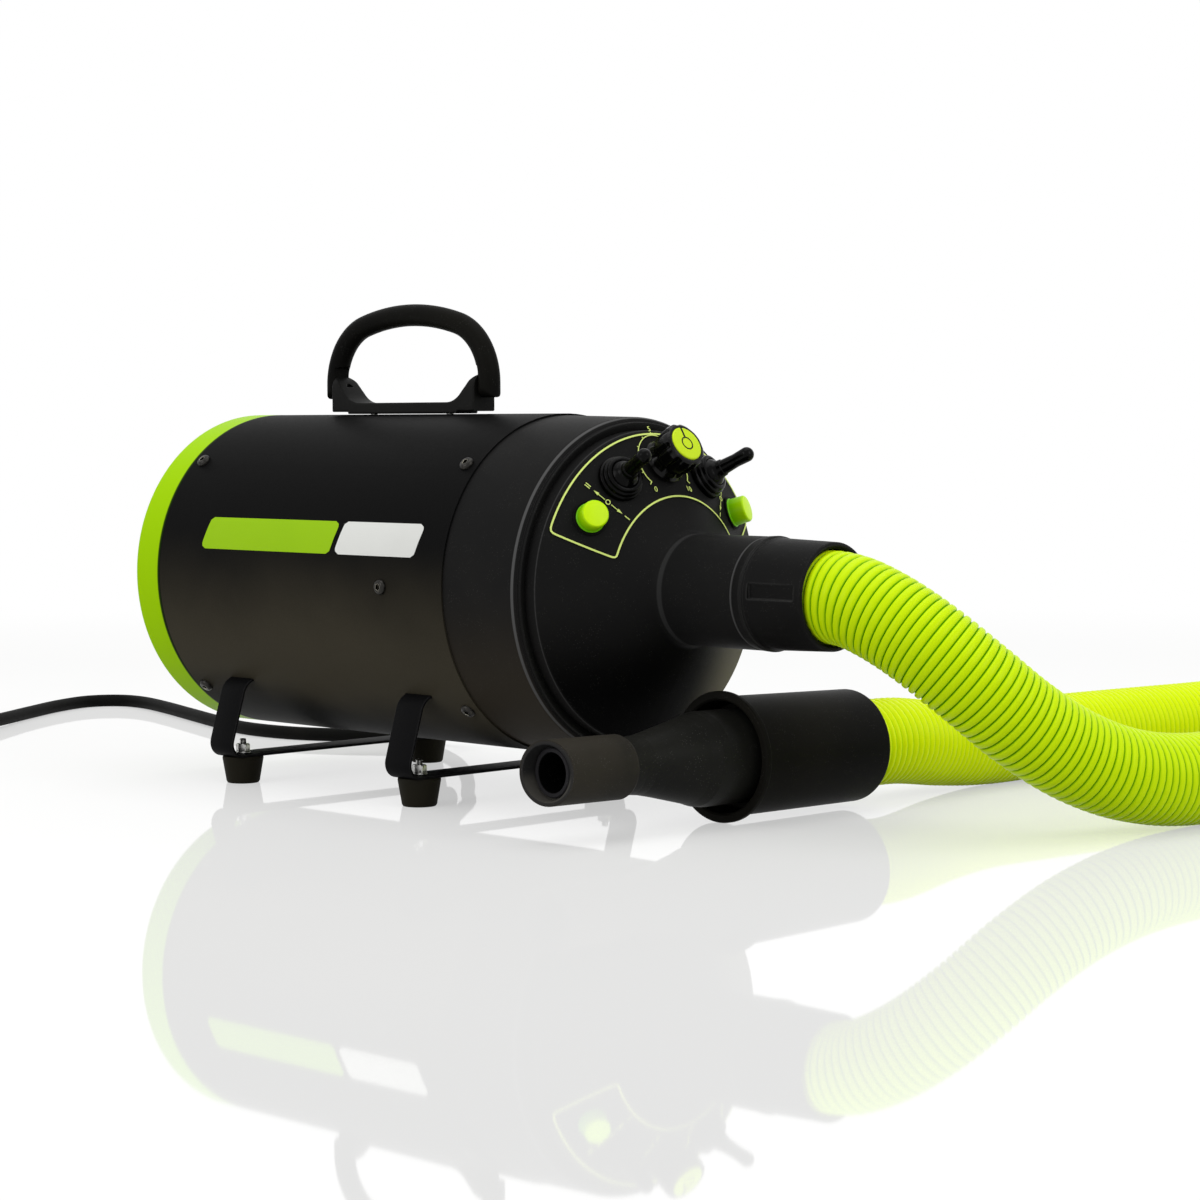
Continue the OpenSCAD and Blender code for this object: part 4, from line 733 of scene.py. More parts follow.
def map_along(obj, along, level):
    """A UV map with u = along and v = level, both given for each point of the piece."""
    mesh = obj.data
    corner = np.zeros(len(mesh.loops), int)
    mesh.loops.foreach_get("vertex_index", corner)
    uv = np.column_stack([along, level])[corner]
    mesh.uv_layers.new(name="UVMap").data.foreach_set("uv", uv.ravel())


# ---- Camera ----

CAMERA_PLACE = Vector((1188.9, -1100.9, 202.3))
CAMERA_ANGLES = (45.117, 3.458, -0.208)  # yaw to the left of +Y, pitch down and roll, in degrees
CAMERA_LENS, CAMERA_SENSOR = 89.26, 36


def make_camera():
    """A nearly level view of the controls and the near side, from in front and to the left."""
    yaw, pitch, roll = (math.radians(v) for v in CAMERA_ANGLES)
    ahead = Vector((-math.sin(yaw) * math.cos(pitch), math.cos(yaw) * math.cos(pitch), -math.sin(pitch)))
    right = ahead.cross(Vector((0, 0, 1))).normalized()
    up = right.cross(ahead)
    x = math.cos(roll) * right + math.sin(roll) * up
    y = math.cos(roll) * up - math.sin(roll) * right
    data = bpy.data.cameras.new("camera")
    data.lens, data.sensor_width = CAMERA_LENS, CAMERA_SENSOR
    data.sensor_fit = "HORIZONTAL"
    data.clip_start, data.clip_end = 0.05, 60
    camera = bpy.data.objects.new("camera", data)
    rotation = Matrix((x, y, -ahead)).transposed().to_4x4()
    camera.matrix_world = Matrix.Translation(CAMERA_PLACE * MM) @ rotation
    bpy.context.scene.collection.objects.link(camera)
    bpy.context.scene.camera = camera


make_camera()

# ---- Mains cord ----

CORD_R = 4.25
CORD_REST = CORD_R + 0.05  # height of its middle where it lies on the floor
GLAND_ANGLE, GLAND_X = -125, SLEEVE_X0 + 27
GLAND_FLANGE_H, RELIEF_LEN = 4, 38
GLAND_DIR = np.array([0, -math.sin(math.radians(GLAND_ANGLE)), math.cos(math.radians(GLAND_ANGLE))])
CORD_START = np.array([GLAND_X, 0, AXIS_Z]) + (BODY_R + GLAND_FLANGE_H + RELIEF_LEN) * GLAND_DIR
COIL_CENTRE = (-524, -55)
COIL_TURNS, COIL_PITCH, COIL_INNER_R, COIL_START = 6.25, 9.3, 33.5, 34
COIL_LIFT, COIL_STEP_Z = 1.35, 2 * CORD_R + 0.7
PLUG_POS = np.array([-606, -58, 12])
PLUG_RELIEF, PLUG_LEN = 22, 36


def coil_point(t):
    """Turn t of the coil: it winds inward, steps up one layer and winds outward again.

    With m half the number of turns, the radius is the inner one + pitch |t - m|, and the height goes
    up by one step, as u^2 (3 - 2u), where u goes from 0 to 1 over the half turn about m.
    """
    u = np.clip((t - COIL_TURNS / 2) * 2 + 0.5, 0, 1)
    r = COIL_INNER_R + COIL_PITCH * np.abs(t - COIL_TURNS / 2)
    a = np.radians(COIL_START - 360 * t)
    z = CORD_R + COIL_LIFT + COIL_STEP_Z * u * u * (3 - 2 * u)
    return np.stack([COIL_CENTRE[0] + r * np.cos(a), COIL_CENTRE[1] + r * np.sin(a), z], -1)


def cord_path():
    """From the gland along the floor to the coil, round its turns and on to the plug."""
    entry, leave = coil_point(0.0), coil_point(COIL_TURNS)
    lead_end = entry - 2 * CORD_R * unit(coil_point(0.01) - entry)
    tail_start = leave + 2 * CORD_R * unit(leave - coil_point(COIL_TURNS - 0.01))
    drop = [CORD_START, CORD_START + 9 * GLAND_DIR, CORD_START + 17 * GLAND_DIR, [-158, 125, 27],
            [-164, 131, 21], [-173, 135, 14], [-185, 136, 8.5], [-201, 133, 5]]
    floor = [(-226, 122), (-254, 104), (-287, 90), (-332, 89), (-383, 104), (-433, 121), (-486, 139),
             (-525, 149), (-549, 146), (-559, 126), (-547, 93), (-522, 52)]
    lead = drop + [[x, y, CORD_REST] for x, y in floor] + [[-493, 11, 4.8], lead_end]
    tail = [tail_start, [-517, -123, 12], [-535, -130, 8], [-554, -131, 5], [-574, -125, 4.5],
            [-591, -113, 4.5], [-601, -98, 6], [-605, -82, 9.5], [-606, -70, 12], PLUG_POS]
    turns = coil_point(np.linspace(0, COIL_TURNS, 300))
    return np.vstack([catmull(lead, 260), turns, catmull(tail, 70)])


mains_path = cord_path()
mains = piece("mains_lead", loft(tube_rings(mains_path, CORD_R, 14)), "black_rubber",
              replaces=("mains_cord", "mains_cord_coil", "mains_cord_tail"))

# ---- Hose ----

GRIP_POS = np.array([178.2, -10.2, 33.3])
GRIP_TURN, GRIP_TILT, GRIP_LEN = 1.6, 0.8, 98
HOSE_R, HOSE_BORE_R = 23, 18.5
HOSE_REST = HOSE_R + 0.4  # height of its middle where it lies on the floor
HOSE_INSET = 25  # how far it goes into the grip
HOSE_SIDES = 30
RIB_STEP, RIB_DEPTH = 4.15, 1.6
FINE_LEN = 420  # how far from the cuff the ribs have twice as many rings


def grip_point(t):
    """A point on the grip's axis, t behind its rim."""
    turn, tilt = math.radians(GRIP_TURN), math.radians(GRIP_TILT)
    direction = [math.sin(turn) * math.cos(tilt), math.cos(turn) * math.cos(tilt), -math.sin(tilt)]
    return GRIP_POS + t * np.array(direction)


HOSE_DROP = [
    [NECK_X1 + 3, 0, AXIS_Z], [223, 0, AXIS_Z], [240, 0, AXIS_Z], [256, 1, 114.2], [270, 3.5, 109],
    [284, 8, 101], [298, 15, 90], [312, 27, 75], [325, 45, 57], [336, 66, 42], [345, 88, 32],
    [351, 111, 26.5], [355, 135, 24],
]
HOSE_FLOOR = [
    (357, 160), (363, 205), (380, 248), (408, 286), (438, 322), (468, 358), (498, 394), (528, 430),
    (554, 469), (569, 514), (573, 561), (565, 607), (546, 650), (518, 687), (481, 716), (438, 735),
    (391, 743), (344, 739), (300, 724), (261, 698), (229, 664), (206, 622), (195, 577), (192, 530),
    (193, 483), (194, 436), (194, 389), (189, 342), (184, 295), (180, 248),
]
HOSE_RISE = [
    [178, 203, 23.5], [179, 164, 26.5], grip_point(GRIP_LEN + 35), grip_point(GRIP_LEN + 5),
    grip_point(GRIP_LEN - HOSE_INSET),
]
HOSE_POINTS = HOSE_DROP + [[x, y, HOSE_REST] for x, y in HOSE_FLOOR] + HOSE_RISE


def rib_height(phase):
    """Height of the skin over its grooves, 0 to 1, at each phase p of a rib: the crest 1 - |2p - 1|^4."""
    return 1 - np.abs(2 * phase - 1) ** 4


def make_hose_piece():
    """One closed skin: ribs outside and a smooth bore inside, with the ribs' height in the UV map."""
    fine = catmull(HOSE_POINTS, 4000)
    length = lengths_along(fine)
    crest = np.linspace(0, length[-1], round(length[-1] / RIB_STEP) + 1)
    steps = np.where(crest[:-1] < FINE_LEN, 8, 4)
    ribs = [np.linspace(a, b, n, endpoint=False) for a, b, n in zip(crest[:-1], crest[1:], steps)]
    station = np.concatenate(ribs + [[length[-1]]])
    height = rib_height(np.concatenate([np.arange(n) / n for n in steps] + [[0.0]]))
    path = np.stack([np.interp(station, length, fine[:, k]) for k in range(3)], -1)
    outer = tube_rings(path, HOSE_R - RIB_DEPTH * (1 - height), HOSE_SIDES)
    inner = tube_rings(catmull(HOSE_POINTS, 220), HOSE_BORE_R, HOSE_SIDES)[::-1]
    obj = piece("hose_skin", loft(np.concatenate([outer, inner]), closed=True), "green_hose",
                replaces=("hose",), sharp=80)
    along = np.concatenate([station, np.linspace(length[-1], 0, len(inner))])
    level = np.concatenate([height, np.ones(len(inner))])
    map_along(obj, np.repeat(along, HOSE_SIDES) * MM, np.repeat(level, HOSE_SIDES))
    return obj, path


hose, hose_path = make_hose_piece()

# ---- Printing on the front cone ----

COLLAR_R, CONE_X0, CONE_LEN, CONE_R1 = 81, LIP_X + 9.5, 30, 29.5
CONE_SLOPE = (COLLAR_R - CONE_R1) / CONE_LEN
CONE_LEAN = math.atan(1 / CONE_SLOPE)  # how far the cone's face leans from a plane across the drum
CONTROL_R = 64.5
TOGGLE_ANGLE, LAMP_ANGLE = 29, 54.5
INK, INK_ROOT = 0.12, 0.1  # height of the printing, and how deep it starts in the face
BORDER = [(79.2, 67), (79.2, -67), (47.5, -69), (47.5, 69)]  # radius and angle of its corners
MARK_R = CONTROL_R - 3
SCALE_R, SCALE_START, SCALE_TURN, SCALE_STEPS = 16.2, 215, 250, 10


def cone_x(r):
    """Where along the drum the cone has the radius r."""
    return CONE_X0 + (COLLAR_R - r) / CONE_SLOPE


def onto_cone(radius, angle, z):
    """A point of the cone, at an angle round from the top in radians, z out of its face.

    With n the lean and R = radius + z sin n, it is (x + z cos n, -R sin angle, axis + R cos angle).
    """
    out_r = radius + z * math.sin(CONE_LEAN)
    return np.stack([cone_x(radius) + z * math.cos(CONE_LEAN), -out_r * np.sin(angle),
                     AXIS_Z + out_r * np.cos(angle)], -1)


def cone_print(solid, a=0.0, r=CONTROL_R):
    """Flat artwork laid on the cone about (a, r): +X goes round it to the right, +Y up it, +Z out of it.

    With n the lean, a point (x, y, z) lands at the radius R = r + y cos n and the angle a - x / R.
    """
    points, faces = solid
    x, y, z = points.T
    radius = r + y * math.cos(CONE_LEAN)
    return onto_cone(radius, math.radians(a) - x / radius, z), faces


def stroke(path, width, closed=False):
    """A flat raised line of that width along a path (x, y), as a solid with square ends."""
    p = np.asarray(path, float)
    side = heading(p, closed)[:, ::-1] * [-1, 1] * width / 2
    rows = [np.column_stack([p + s * side, np.full(len(p), z)])
            for s, z in ((-1, -INK_ROOT), (1, -INK_ROOT), (1, INK), (-1, INK))]
    return loft(np.stack(rows, 1), closed)


def lettering(text, height, x=0.0, y=0.0):
    """Numbers and plain marks as a raised solid, centred on (x, y)."""
    data = bpy.data.curves.new("marks", "FONT")
    data.body = text
    data.size = height * 1.4
    data.align_x, data.align_y = "CENTER", "CENTER"
    data.extrude = (INK + INK_ROOT) / 2
    data.resolution_u = 3
    obj = bpy.data.objects.new("marks", data)
    mesh = obj.to_mesh()
    points = np.zeros(len(mesh.vertices) * 3)
    mesh.vertices.foreach_get("co", points)
    faces = [tuple(f.vertices) for f in mesh.polygons]
    obj.to_mesh_clear()
    bpy.data.objects.remove(obj)
    bpy.data.curves.remove(data)
    return points.reshape(-1, 3) + [x, y, INK - (INK + INK_ROOT) / 2], faces


def arrow(start, stop, width=0.4, head_len=3.0, head_half=0.85):
    """A line up or down the cone, from one height to another, with a pointed head."""
    up = np.sign(stop - start)
    neck = stop - up * head_len
    head = [(-up * head_half, neck), (0, stop), (up * head_half, neck)]
    return [stroke([(0, start), (0, neck)], width), extrude(head, -INK_ROOT, INK)]


def panel_border():
    """A closed line round the controls: two arcs and two sides, with round corners.

    It is drawn on the unrolled cone: with n the lean, a place at the radius R and the angle a lies
    R / cos n from the tip there, a cos n round.
    """
    shrink = math.cos(CONE_LEAN)
    ends = BORDER[1:] + BORDER[:1]
    sides = [np.linspace(p, q, n, endpoint=False) for p, q, n in zip(BORDER, ends, (90, 20, 90, 20))]
    r, a = np.vstack(sides).T
    t = np.radians(a) * shrink
    flat = np.stack([np.sin(t), np.cos(t)], -1) * (r / shrink)[:, None]
    for _ in range(2):  # rounds the corners
        flat = (np.roll(flat, 1, axis=0) + 2 * flat + np.roll(flat, -1, axis=0)) / 4
    points, faces = stroke(flat, 0.95, closed=True)
    x, y, z = points.T
    return onto_cone(np.hypot(x, y) * shrink, np.arctan2(x, y) / shrink, z), faces


def panel_marks():
    """Arrows and numbers by the switches, and the speed scale round the knob."""
    marks = []
    for side in (1, -1):
        middle = side * ((TOGGLE_ANGLE + LAMP_ANGLE) / 2 + 1)
        ring = stroke(arc(0, 0, 1.2, 0, 342, 19), 0.45, closed=True)
        marks += [cone_print(s, middle, MARK_R) for s in [ring] + arrow(2.0, 9.3) + arrow(-2.0, -9.3)]
        marks += [cone_print(lettering("II", 3.4), middle, CONTROL_R + 8.2),
                  cone_print(lettering("I", 3.4), middle, CONTROL_R - 14.0)]
    scale = [stroke(arc(0, 0, SCALE_R, SCALE_START, SCALE_START - SCALE_TURN, 59), 0.55)]
    for step in range(SCALE_STEPS + 1):
        a = SCALE_START - SCALE_TURN / SCALE_STEPS * step
        tick = 1.8 if step % 5 == 0 else 1.1
        scale.append(stroke([polar(0, 0, SCALE_R - 0.2, a), polar(0, 0, SCALE_R + tick, a)], 0.5))
    for text, a, gap in (("0", 228, 2.4), ("5", 90, 3.6), ("10", -50, 2.4)):
        scale.append(lettering(text, 3.0, *polar(0, 0, SCALE_R + gap, a)))
    return marks + [cone_print(s) for s in scale]


piece("panel_border", panel_border(), "black_moulding", PANEL_INK)
piece("panel_marks", panel_marks(), "black_moulding", PANEL_INK)

# ---- Bars on the drum's near side ----

BAR_LOW, BAR_HIGH, BAR_SLANT, BAR_CORNER = 16, 34, 5, 3


def span_at(outline, height):
    """The lowest and the highest x at which a closed outline (x, y) meets y = height."""
    x, y = outline.T
    x2, y2 = np.roll(outline, -1, axis=0).T
    crosses = (y - height) * (y2 - height) < 0
    share = (height - y[crosses]) / (y2 - y)[crosses]
    met = np.concatenate([x[np.abs(y - height) < 1e-6], x[crosses] + share * (x2 - x)[crosses]])
    return met.min(), met.max()


def side_bar(x0, x1):
    """A thin slanted bar from x0 to x1 that bends with the drum: a height h lies at the angle h / R."""
    outline = rounded([(x0, BAR_LOW, BAR_CORNER), (x1, BAR_LOW, BAR_CORNER),
                       (x1 + BAR_SLANT, BAR_HIGH, BAR_CORNER), (x0 + BAR_SLANT, BAR_HIGH, BAR_CORNER)], 6)
    inner, outer = BODY_R - 0.05, BODY_R + INK
    rings = []
    for h in np.linspace(BAR_LOW, BAR_HIGH, 13):
        left, right = span_at(outline, h)
        a = h / BODY_R
        rings.append([(x, -r * math.cos(a), AXIS_Z + r * math.sin(a))
                      for x, r in ((left, inner), (right, inner), (right, outer), (left, outer))])
    return loft(rings)


piece("side_bar_green", side_bar(-143, -32), "green_shell", GREEN_INK)
piece("side_bar_white", side_bar(-28, 36), "green_shell", WHITE_INK)

# ---- Controls ----

SEAT = -0.6  # bottom of the flat round seats under the controls
LAMP_R, LAMP_H = 7.7, 9.0
PIVOT, DOME_R, DOME_WALL = 2.0, 8.8, 0.9
BALL_R, LEVER_H, LEVER_TIP_R = 3.2, 31.0, 3.9
KNOB_R, KNOB_H, FLUTES, FLUTE_DEPTH = 12.5, 20, 8, 1.5


def seated(a, *solids):
    """The solids moved onto the cone, a degrees round from the top: +Z out of its face and -X up it."""
    seat = moved(0, 0, AXIS_Z) @ turned("X", a) @ moved(cone_x(CONTROL_R), 0, CONTROL_R)
    tilt = turned("Y", 90 - math.degrees(CONE_LEAN))
    return [placed(solid, seat @ tilt) for solid in solids]


def make_lamp(name, a, node):
    """A green lens: a straight skirt, a soft shoulder and a nearly flat top, in a fine black ring."""
    r, h = LAMP_R, LAMP_H
    lens = spun([(SEAT - 7, 0), (SEAT - 7, 5), (SEAT, 5), (SEAT, r), (0.5, r, 0.3), (0.9, r - 0.45, 0.2),
                 (h - 0.25, r - 0.6, 1.1), (h, 0)], 64, 6)
    obj = piece(name, seated(a, lens), "green_lens", replaces=(node,), sharp=50)
    # the UV's v paints the top pale and the skirt deeper green: painted light and shade
    height = np.clip(lens[0][:, 2] / h, 0, 1)
    map_along(obj, height, np.where(height > 0.97, 1.0, 0.15 + 0.45 * height))
    ring = rounded([(SEAT, r - 0.3), (SEAT, r + 0.2), (0.3, r + 0.2), (0.45, r + 1.1, 0.2),
                    (0.05, r + 1.5), (0.05, r - 0.3)])
    piece(name + "_ring", seated(a, lathe(ring, 64)), "black_rubber")


def make_boot(name, a, node):
    """A rubber boot's still part: a broad foot, two folds and a lip that the lever's dome slides in."""
    outline = rounded([(SEAT, 9.2), (SEAT, 12), (1.8, 12, 0.8), (2.3, 11.1, 0.3), (2.6, 11.0, 0.25),
                       (4.3, 11.0, 0.8), (4.8, 10.0, 0.3), (5.0, 9.95, 0.25), (6.5, 9.8, 0.8),
                       (7.0, 8.3, 0.5), (6.6, 7.7), (4.4, 9.1)])
    piece(name, seated(a, lathe(outline, 72)), "black_rubber", RUBBER_GLOSS, (node,))


def make_lever(name, a, node, body):
    """A sleeved lever: a cross pin and a ball in the bushing, the boot's dome about it and a round bat."""
    foot = [(PIVOT - BALL_R - 4, 0), (PIVOT - BALL_R - 4, 1.6)]
    ball = arc(PIVOT, 0, BALL_R, 148, 40, 11)
    shank = [(6, 2.0), (9.4, 2.0)]
    under = [polar(PIVOT, 0, DOME_R - DOME_WALL, t) for t in (20, 35, 50, 62)]
    dome = arc(PIVOT, 0, DOME_R, 63, 38, 7)
    bat = rounded([dome[-1], (10.4, 4.7, 1.4), (12.2, 4.5, 0.5), (12.6, 4.0, 0.4), (20, 3.55, 6),
                   (LEVER_H - LEVER_TIP_R, LEVER_TIP_R)], closed=False)[1:].tolist()
    tip = arc(LEVER_H - LEVER_TIP_R, 0, LEVER_TIP_R, 90, 0, 10)[1:]
    stem = lathe([(z, max(r, 0)) for z, r in foot + ball + shank + under + dome + bat + tip], 48, False)
    pin = spun([(-4.7, 0), (-4.7, 0.9, 0.15), (4.7, 0.9, 0.15), (4.7, 0)], 20)
    cross_pin = placed(pin, moved(0, 0, PIVOT) @ turned("Y", 90))
    piece(name, seated(a, stem, cross_pin), "black_rubber", RUBBER_GLOSS, (node,), body, sharp=45)


def make_knob():
    """A fluted knob under a dark rim and a green cap, with a plain pointer and ring on the cap.

    The body's radius is r - d max(cos 8t, 0)^1.6, where the depth d fades out at the foot and the top.
    """
    t = full_turn(192)
    groove = np.clip(np.cos(FLUTES * t), 0, 1) ** 1.6
    outline = rounded([(0.8, 9), (0.8, 11.6, 0.5), (1.5, 12.3, 0.4), (3.2, 11.2, 0.8), (6, 10.9, 2),
                       (9, 12.1, 2), (16, KNOB_R, 1), (18.4, 12.1, 0.6), (19.3, 10.7, 0.5),
                       (19.3, 9.55, 0.1), (17.8, 9.45)], 4, closed=False)
    z, r = outline.T
    depth = FLUTE_DEPTH * np.clip((z - 2.5) / 4, 0, 1) * np.clip((19.0 - z) / 1.2, 0, 1) * (r > 10)
    body = loft(rings_of([(h, wide - d * groove) for h, wide, d in zip(z, r, depth)], t))
    shaft = spun([(-10, 0), (-10, 3, 0.3), (0.85, 3), (0.85, 0)], 40)
    piece("knob_body", seated(0, body, shaft), "black_moulding", KNOB_BLACK, ("control_knob",), "knob",
          sharp=40)
    cap = spun([(17.8, 0), (17.8, 9.3), (19.5, 9.3, 0.3), (19.9, 8.7, 0.3), (KNOB_H, 0)], 72)
    piece("knob_top", seated(0, cap), "green_lens", CAP_GREEN, ("knob_cap",), "knob")
    line = rounded([(-9.0, -0.55, 0.2), (-3.6, -0.55), (-3.6, 0.55), (-9.0, 0.55, 0.2)])
    pointer = extrude(line, KNOB_H - 0.3, KNOB_H + 0.06)
    ring = lathe([(19.7, 3.0), (19.7, 3.7), (20.07, 3.7), (20.07, 3.0)], 48)
    piece("knob_pointer", seated(0, pointer, ring), "black_moulding", KNOB_BLACK, body="knob")


for side, sign in (("left", 1), ("right", -1)):
    make_lamp("lens_" + side, sign * LAMP_ANGLE, "lamp_" + side)
    make_boot("boot_" + side, sign * TOGGLE_ANGLE, "toggle_boot_" + side)
    make_lever("bat_" + side, sign * TOGGLE_ANGLE, "toggle_lever_" + side, "lever_" + side)
make_knob()

# ---- Carry handle ----

HANDLE_X = middle_x("handle_base")
HANDLE_HALF, PIN_H, PIN_R, EAR_R = 59.7, 15, 2.55, 8
BAIL_R, BAIL_HALF, BAIL_CORNER_R, BAIL_RISE, CROWN_ANGLE = 6.1, 63.9, 34, 2, 15.5
RELIEF_R, BAIL_FACE = 11.94, 60.0  # the bail is flat there, against the outside of an ear
SCREW_X = 32
ON_TOP = moved(HANDLE_X, 0, TOP_Z)


def handle_section(x, low, high, inset=0.0):
    """A section across the base: round-topped above the pins and with its rims rounded.

    Up to the pins' height p the half width is the ear's radius R, and above it sqrt(R^2 - (z - p)^2).
    It shrinks by c - sqrt(c^2 - (c - h)^2) at the height h from a rim, up to the height c.
    """
    c = min(0.9, 0.45 * (high - low))
    h = np.array([0, 0.12, 0.35, 0.65, 1]) * c
    z = np.concatenate([low + h, np.linspace(low + c, high - c, 9)[1:-1], high - h[::-1]])
    near = np.minimum(np.minimum(z - low, high - z), c)
    wide = np.where(z > PIN_H, np.sqrt(np.maximum(EAR_R**2 - (z - PIN_H) ** 2, 0)), EAR_R)
    wide = np.maximum(wide - (c - np.sqrt(np.maximum(c * c - (c - near) ** 2, 0))) - inset, 0.4)
    side = np.column_stack([np.full(len(z), x), wide, z])
    return np.vstack([side, side[::-1] * [1, -1, 1]])


def pin_bores(x):
    """Cutters for the two pins' holes, from x outward along the pins."""
    bore = lathe([(-3, 0), (-3, PIN_R), (6.9, PIN_R), (6.9, 0)], 32, closed=False)
    return [placed(bore, ON_TOP @ moved(s * x, 0, PIN_H) @ turned("Y", s * 90)) for s in (1, -1)]


def make_handle_base():
    """A flat base with two ears and two sunk screw holes, lofted through sections across it."""
    top = np.array([(0, 6.5), (18, 6.5)] + arc(36.7, 23.5, 17, 270, 317, 10)
                   + arc(64, 10.2, 12, 137, 111, 5))
    stations = sorted({*np.round(top[:, 0], 3), 44.5, 45.6, 45.8, 57.5, HANDLE_HALF - 0.6,
                       HANDLE_HALF - 0.25})
    insets = {HANDLE_HALF: 0.5, HANDLE_HALF - 0.25: 0.15}
    half = [(x, 0.3 if x < 45.7 else 1.5, np.interp(x, top[:, 0], top[:, 1]), insets.get(x, 0))
            for x in stations]
    rings = [handle_section(-x, *rest) for x, *rest in reversed(half[1:])]
    rings += [handle_section(*row) for row in half]
    sunk = lathe([(-1, 0), (-1, 2.2), (3.5, 2.2), (3.5, 4.5), (12, 4.5), (12, 0)], 48, closed=False)
    holes = [placed(sunk, ON_TOP @ moved(s * SCREW_X, 0, 0)) for s in (1, -1)]
    piece("handle_foot", placed(loft(rings), ON_TOP), "black_moulding", BLACK["body"], ("handle_base",),
          cutters=holes + pin_bores(HANDLE_HALF - 4.1))


def make_bail():
    """A thick round bail: its feet lap the outside of the ears, and its grip is a shallow arc.

    Each foot is a half disc round its pin, so a point at the height h from it stays within
    sqrt(R^2 - h^2) of the middle, and the face towards the ear is flat.
    """
    crown = math.radians(CROWN_ANGLE)
    corner_x, corner_z = BAIL_HALF - BAIL_CORNER_R, PIN_H + BAIL_RISE
    crown_r = (BAIL_HALF - BAIL_CORNER_R * (1 - math.sin(crown))) / math.sin(crown)
    crown_z = corner_z + (BAIL_CORNER_R - crown_r) * math.cos(crown)
    side = [(BAIL_HALF, PIN_H - BAIL_R * math.cos(t)) for t in np.radians(np.linspace(4, 90, 9))]
    side.append((BAIL_HALF, PIN_H + BAIL_RISE / 2))
    side += arc(corner_x, corner_z, BAIL_CORNER_R, 0, 90 - CROWN_ANGLE, 44)
    side += arc(0, crown_z, crown_r, 90 - CROWN_ANGLE, 90, 14)[1:]
    path = [(x, 0, z) for x, z in side] + [(-x, 0, z) for x, z in reversed(side[:-1])]
    points, faces = loft(tube_rings(path, BAIL_R, 40, up=(0, 1, 0)))
    x, y, h = points[:, 0], points[:, 1], points[:, 2] - PIN_H
    reach = np.sqrt(np.maximum(BAIL_R**2 - h**2, 0.01))
    y = np.where(h < 0, np.clip(y, -reach, reach), y)
    faced = (np.hypot(y, h) < RELIEF_R) & (np.abs(x) < BAIL_FACE)
    points = np.column_stack([np.where(faced, np.sign(x) * BAIL_FACE, x), y, points[:, 2]])
    piece("handle_grip", placed((points, faces), ON_TOP), "black_moulding", BLACK["grip"],
          ("handle_bail",), "bail", cutters=pin_bores(HANDLE_HALF), sharp=50)


make_handle_base()
make_bail()

# ---- Stand ----

STRAP_W, STRAP_T, STRAP_EDGE = 20, 1.5, 0.45
LEG_LEAN = 16.5  # of the leg's upright, inward from the vertical
KNEE, KNEE_R = (76.65, 22.75), 7  # centre (y, z) and radius of the bend over the foot
HOOK, HOOK_R, HOOK_REACH = (65.87, 48.49), 10, 12  # the same for the bend into the drum's skin
FOOT_H, FOOT_Y, BOLT_R, BOLT_HOLE_R = 15, 69, 2.0, 2.15
THREAD_LEN, THREAD_STEP = 7.7, 0.35  # a crest or a groove at each step
WASHER_T = 0.8


def make_leg(name, x, node):
    """A flat strap under the drum, bent up at both ends and in through the drum's skin."""
    half = arc(*KNEE, KNEE_R, -90, LEG_LEAN, 12) + arc(*HOOK, HOOK_R, LEG_LEAN, 90, 12)
    half.append((HOOK[0] - HOOK_REACH, HOOK[1] + HOOK_R))
    path = [(x, -y, z) for y, z in reversed(half)] + [(x, y, z) for y, z in half]
    hole = lathe([(FOOT_H - 1, 0), (FOOT_H - 1, BOLT_HOLE_R), (FOOT_H + 4, BOLT_HOLE_R), (FOOT_H + 4, 0)],
                 32, closed=False)
    piece(name, strap(path, (1, 0, 0), STRAP_W, STRAP_T, STRAP_EDGE), "black_paint", STRAP_BLACK, (node,),
          cutters=[placed(hole, moved(x, s * FOOT_Y, 0)) for s in (1, -1)], sharp=50)


def make_feet():
    """Four tapered rubber feet, each with its bolt, washer and nut on the strap."""
    rubber = lathe(rounded([(0, 4.6, 0.3), (0, 8.7, 0.7), (1.3, 9.4, 0.6), (2.2, 9.5, 0.4),
                            (13.9, 11.5, 0.5), (FOOT_H, 11.3, 0.4), (FOOT_H, BOLT_HOLE_R),
                            (6, BOLT_HOLE_R), (6, 4.6)], steps=4), 72)
    on_strap = FOOT_H + STRAP_T
    thread = [(on_strap + 0.3 + THREAD_STEP * k, BOLT_R - (0.05 if k % 2 else 0.28))
              for k in range(round(THREAD_LEN / THREAD_STEP))]
    end = thread[-1][0]
    bolt = lathe([(3, 0), (3, 3.1), (3.4, 3.6), (6, 3.6), (6, BOLT_R)] + thread
                 + [(end + 0.45, 1.35), (end + 0.45, 0)], 40, closed=False)
    washer = lathe(rounded([(0, BOLT_HOLE_R), (0, 4.34, 0.2), (WASHER_T, 4.34, 0.2),
                            (WASHER_T, BOLT_HOLE_R)], steps=3), 56)
    hex_nut = placed(nut(7, 4.4, 2.05), moved(0, 0, WASHER_T) @ turned("Z", 12))
    bolts, nuts = [], []
    for row, x in LEG_XS.items():
        for side, y in (("left", -FOOT_Y), ("right", FOOT_Y)):
            piece(f"foot_pad_{row}_{side}", placed(rubber, moved(x, y, 0)), "black_rubber", FOOT_RUBBER,
                  (f"foot_{row}_{side}",))
            bolts.append(placed(bolt, moved(x, y, 0)))
            nuts += [placed(part, moved(x, y, on_strap)) for part in (washer, hex_nut)]
    piece("bolts_threaded", bolts, "bright_steel", replaces=("foot_bolts",), sharp=60)
    piece("nuts_washers", nuts, "bright_steel", replaces=("foot_nuts",))


for row, x in LEG_XS.items():
    make_leg("leg_strap_" + row, x, "leg_frame_" + row)
make_feet()

# ---- Drum's screws and the ring between the housing and the cone ----

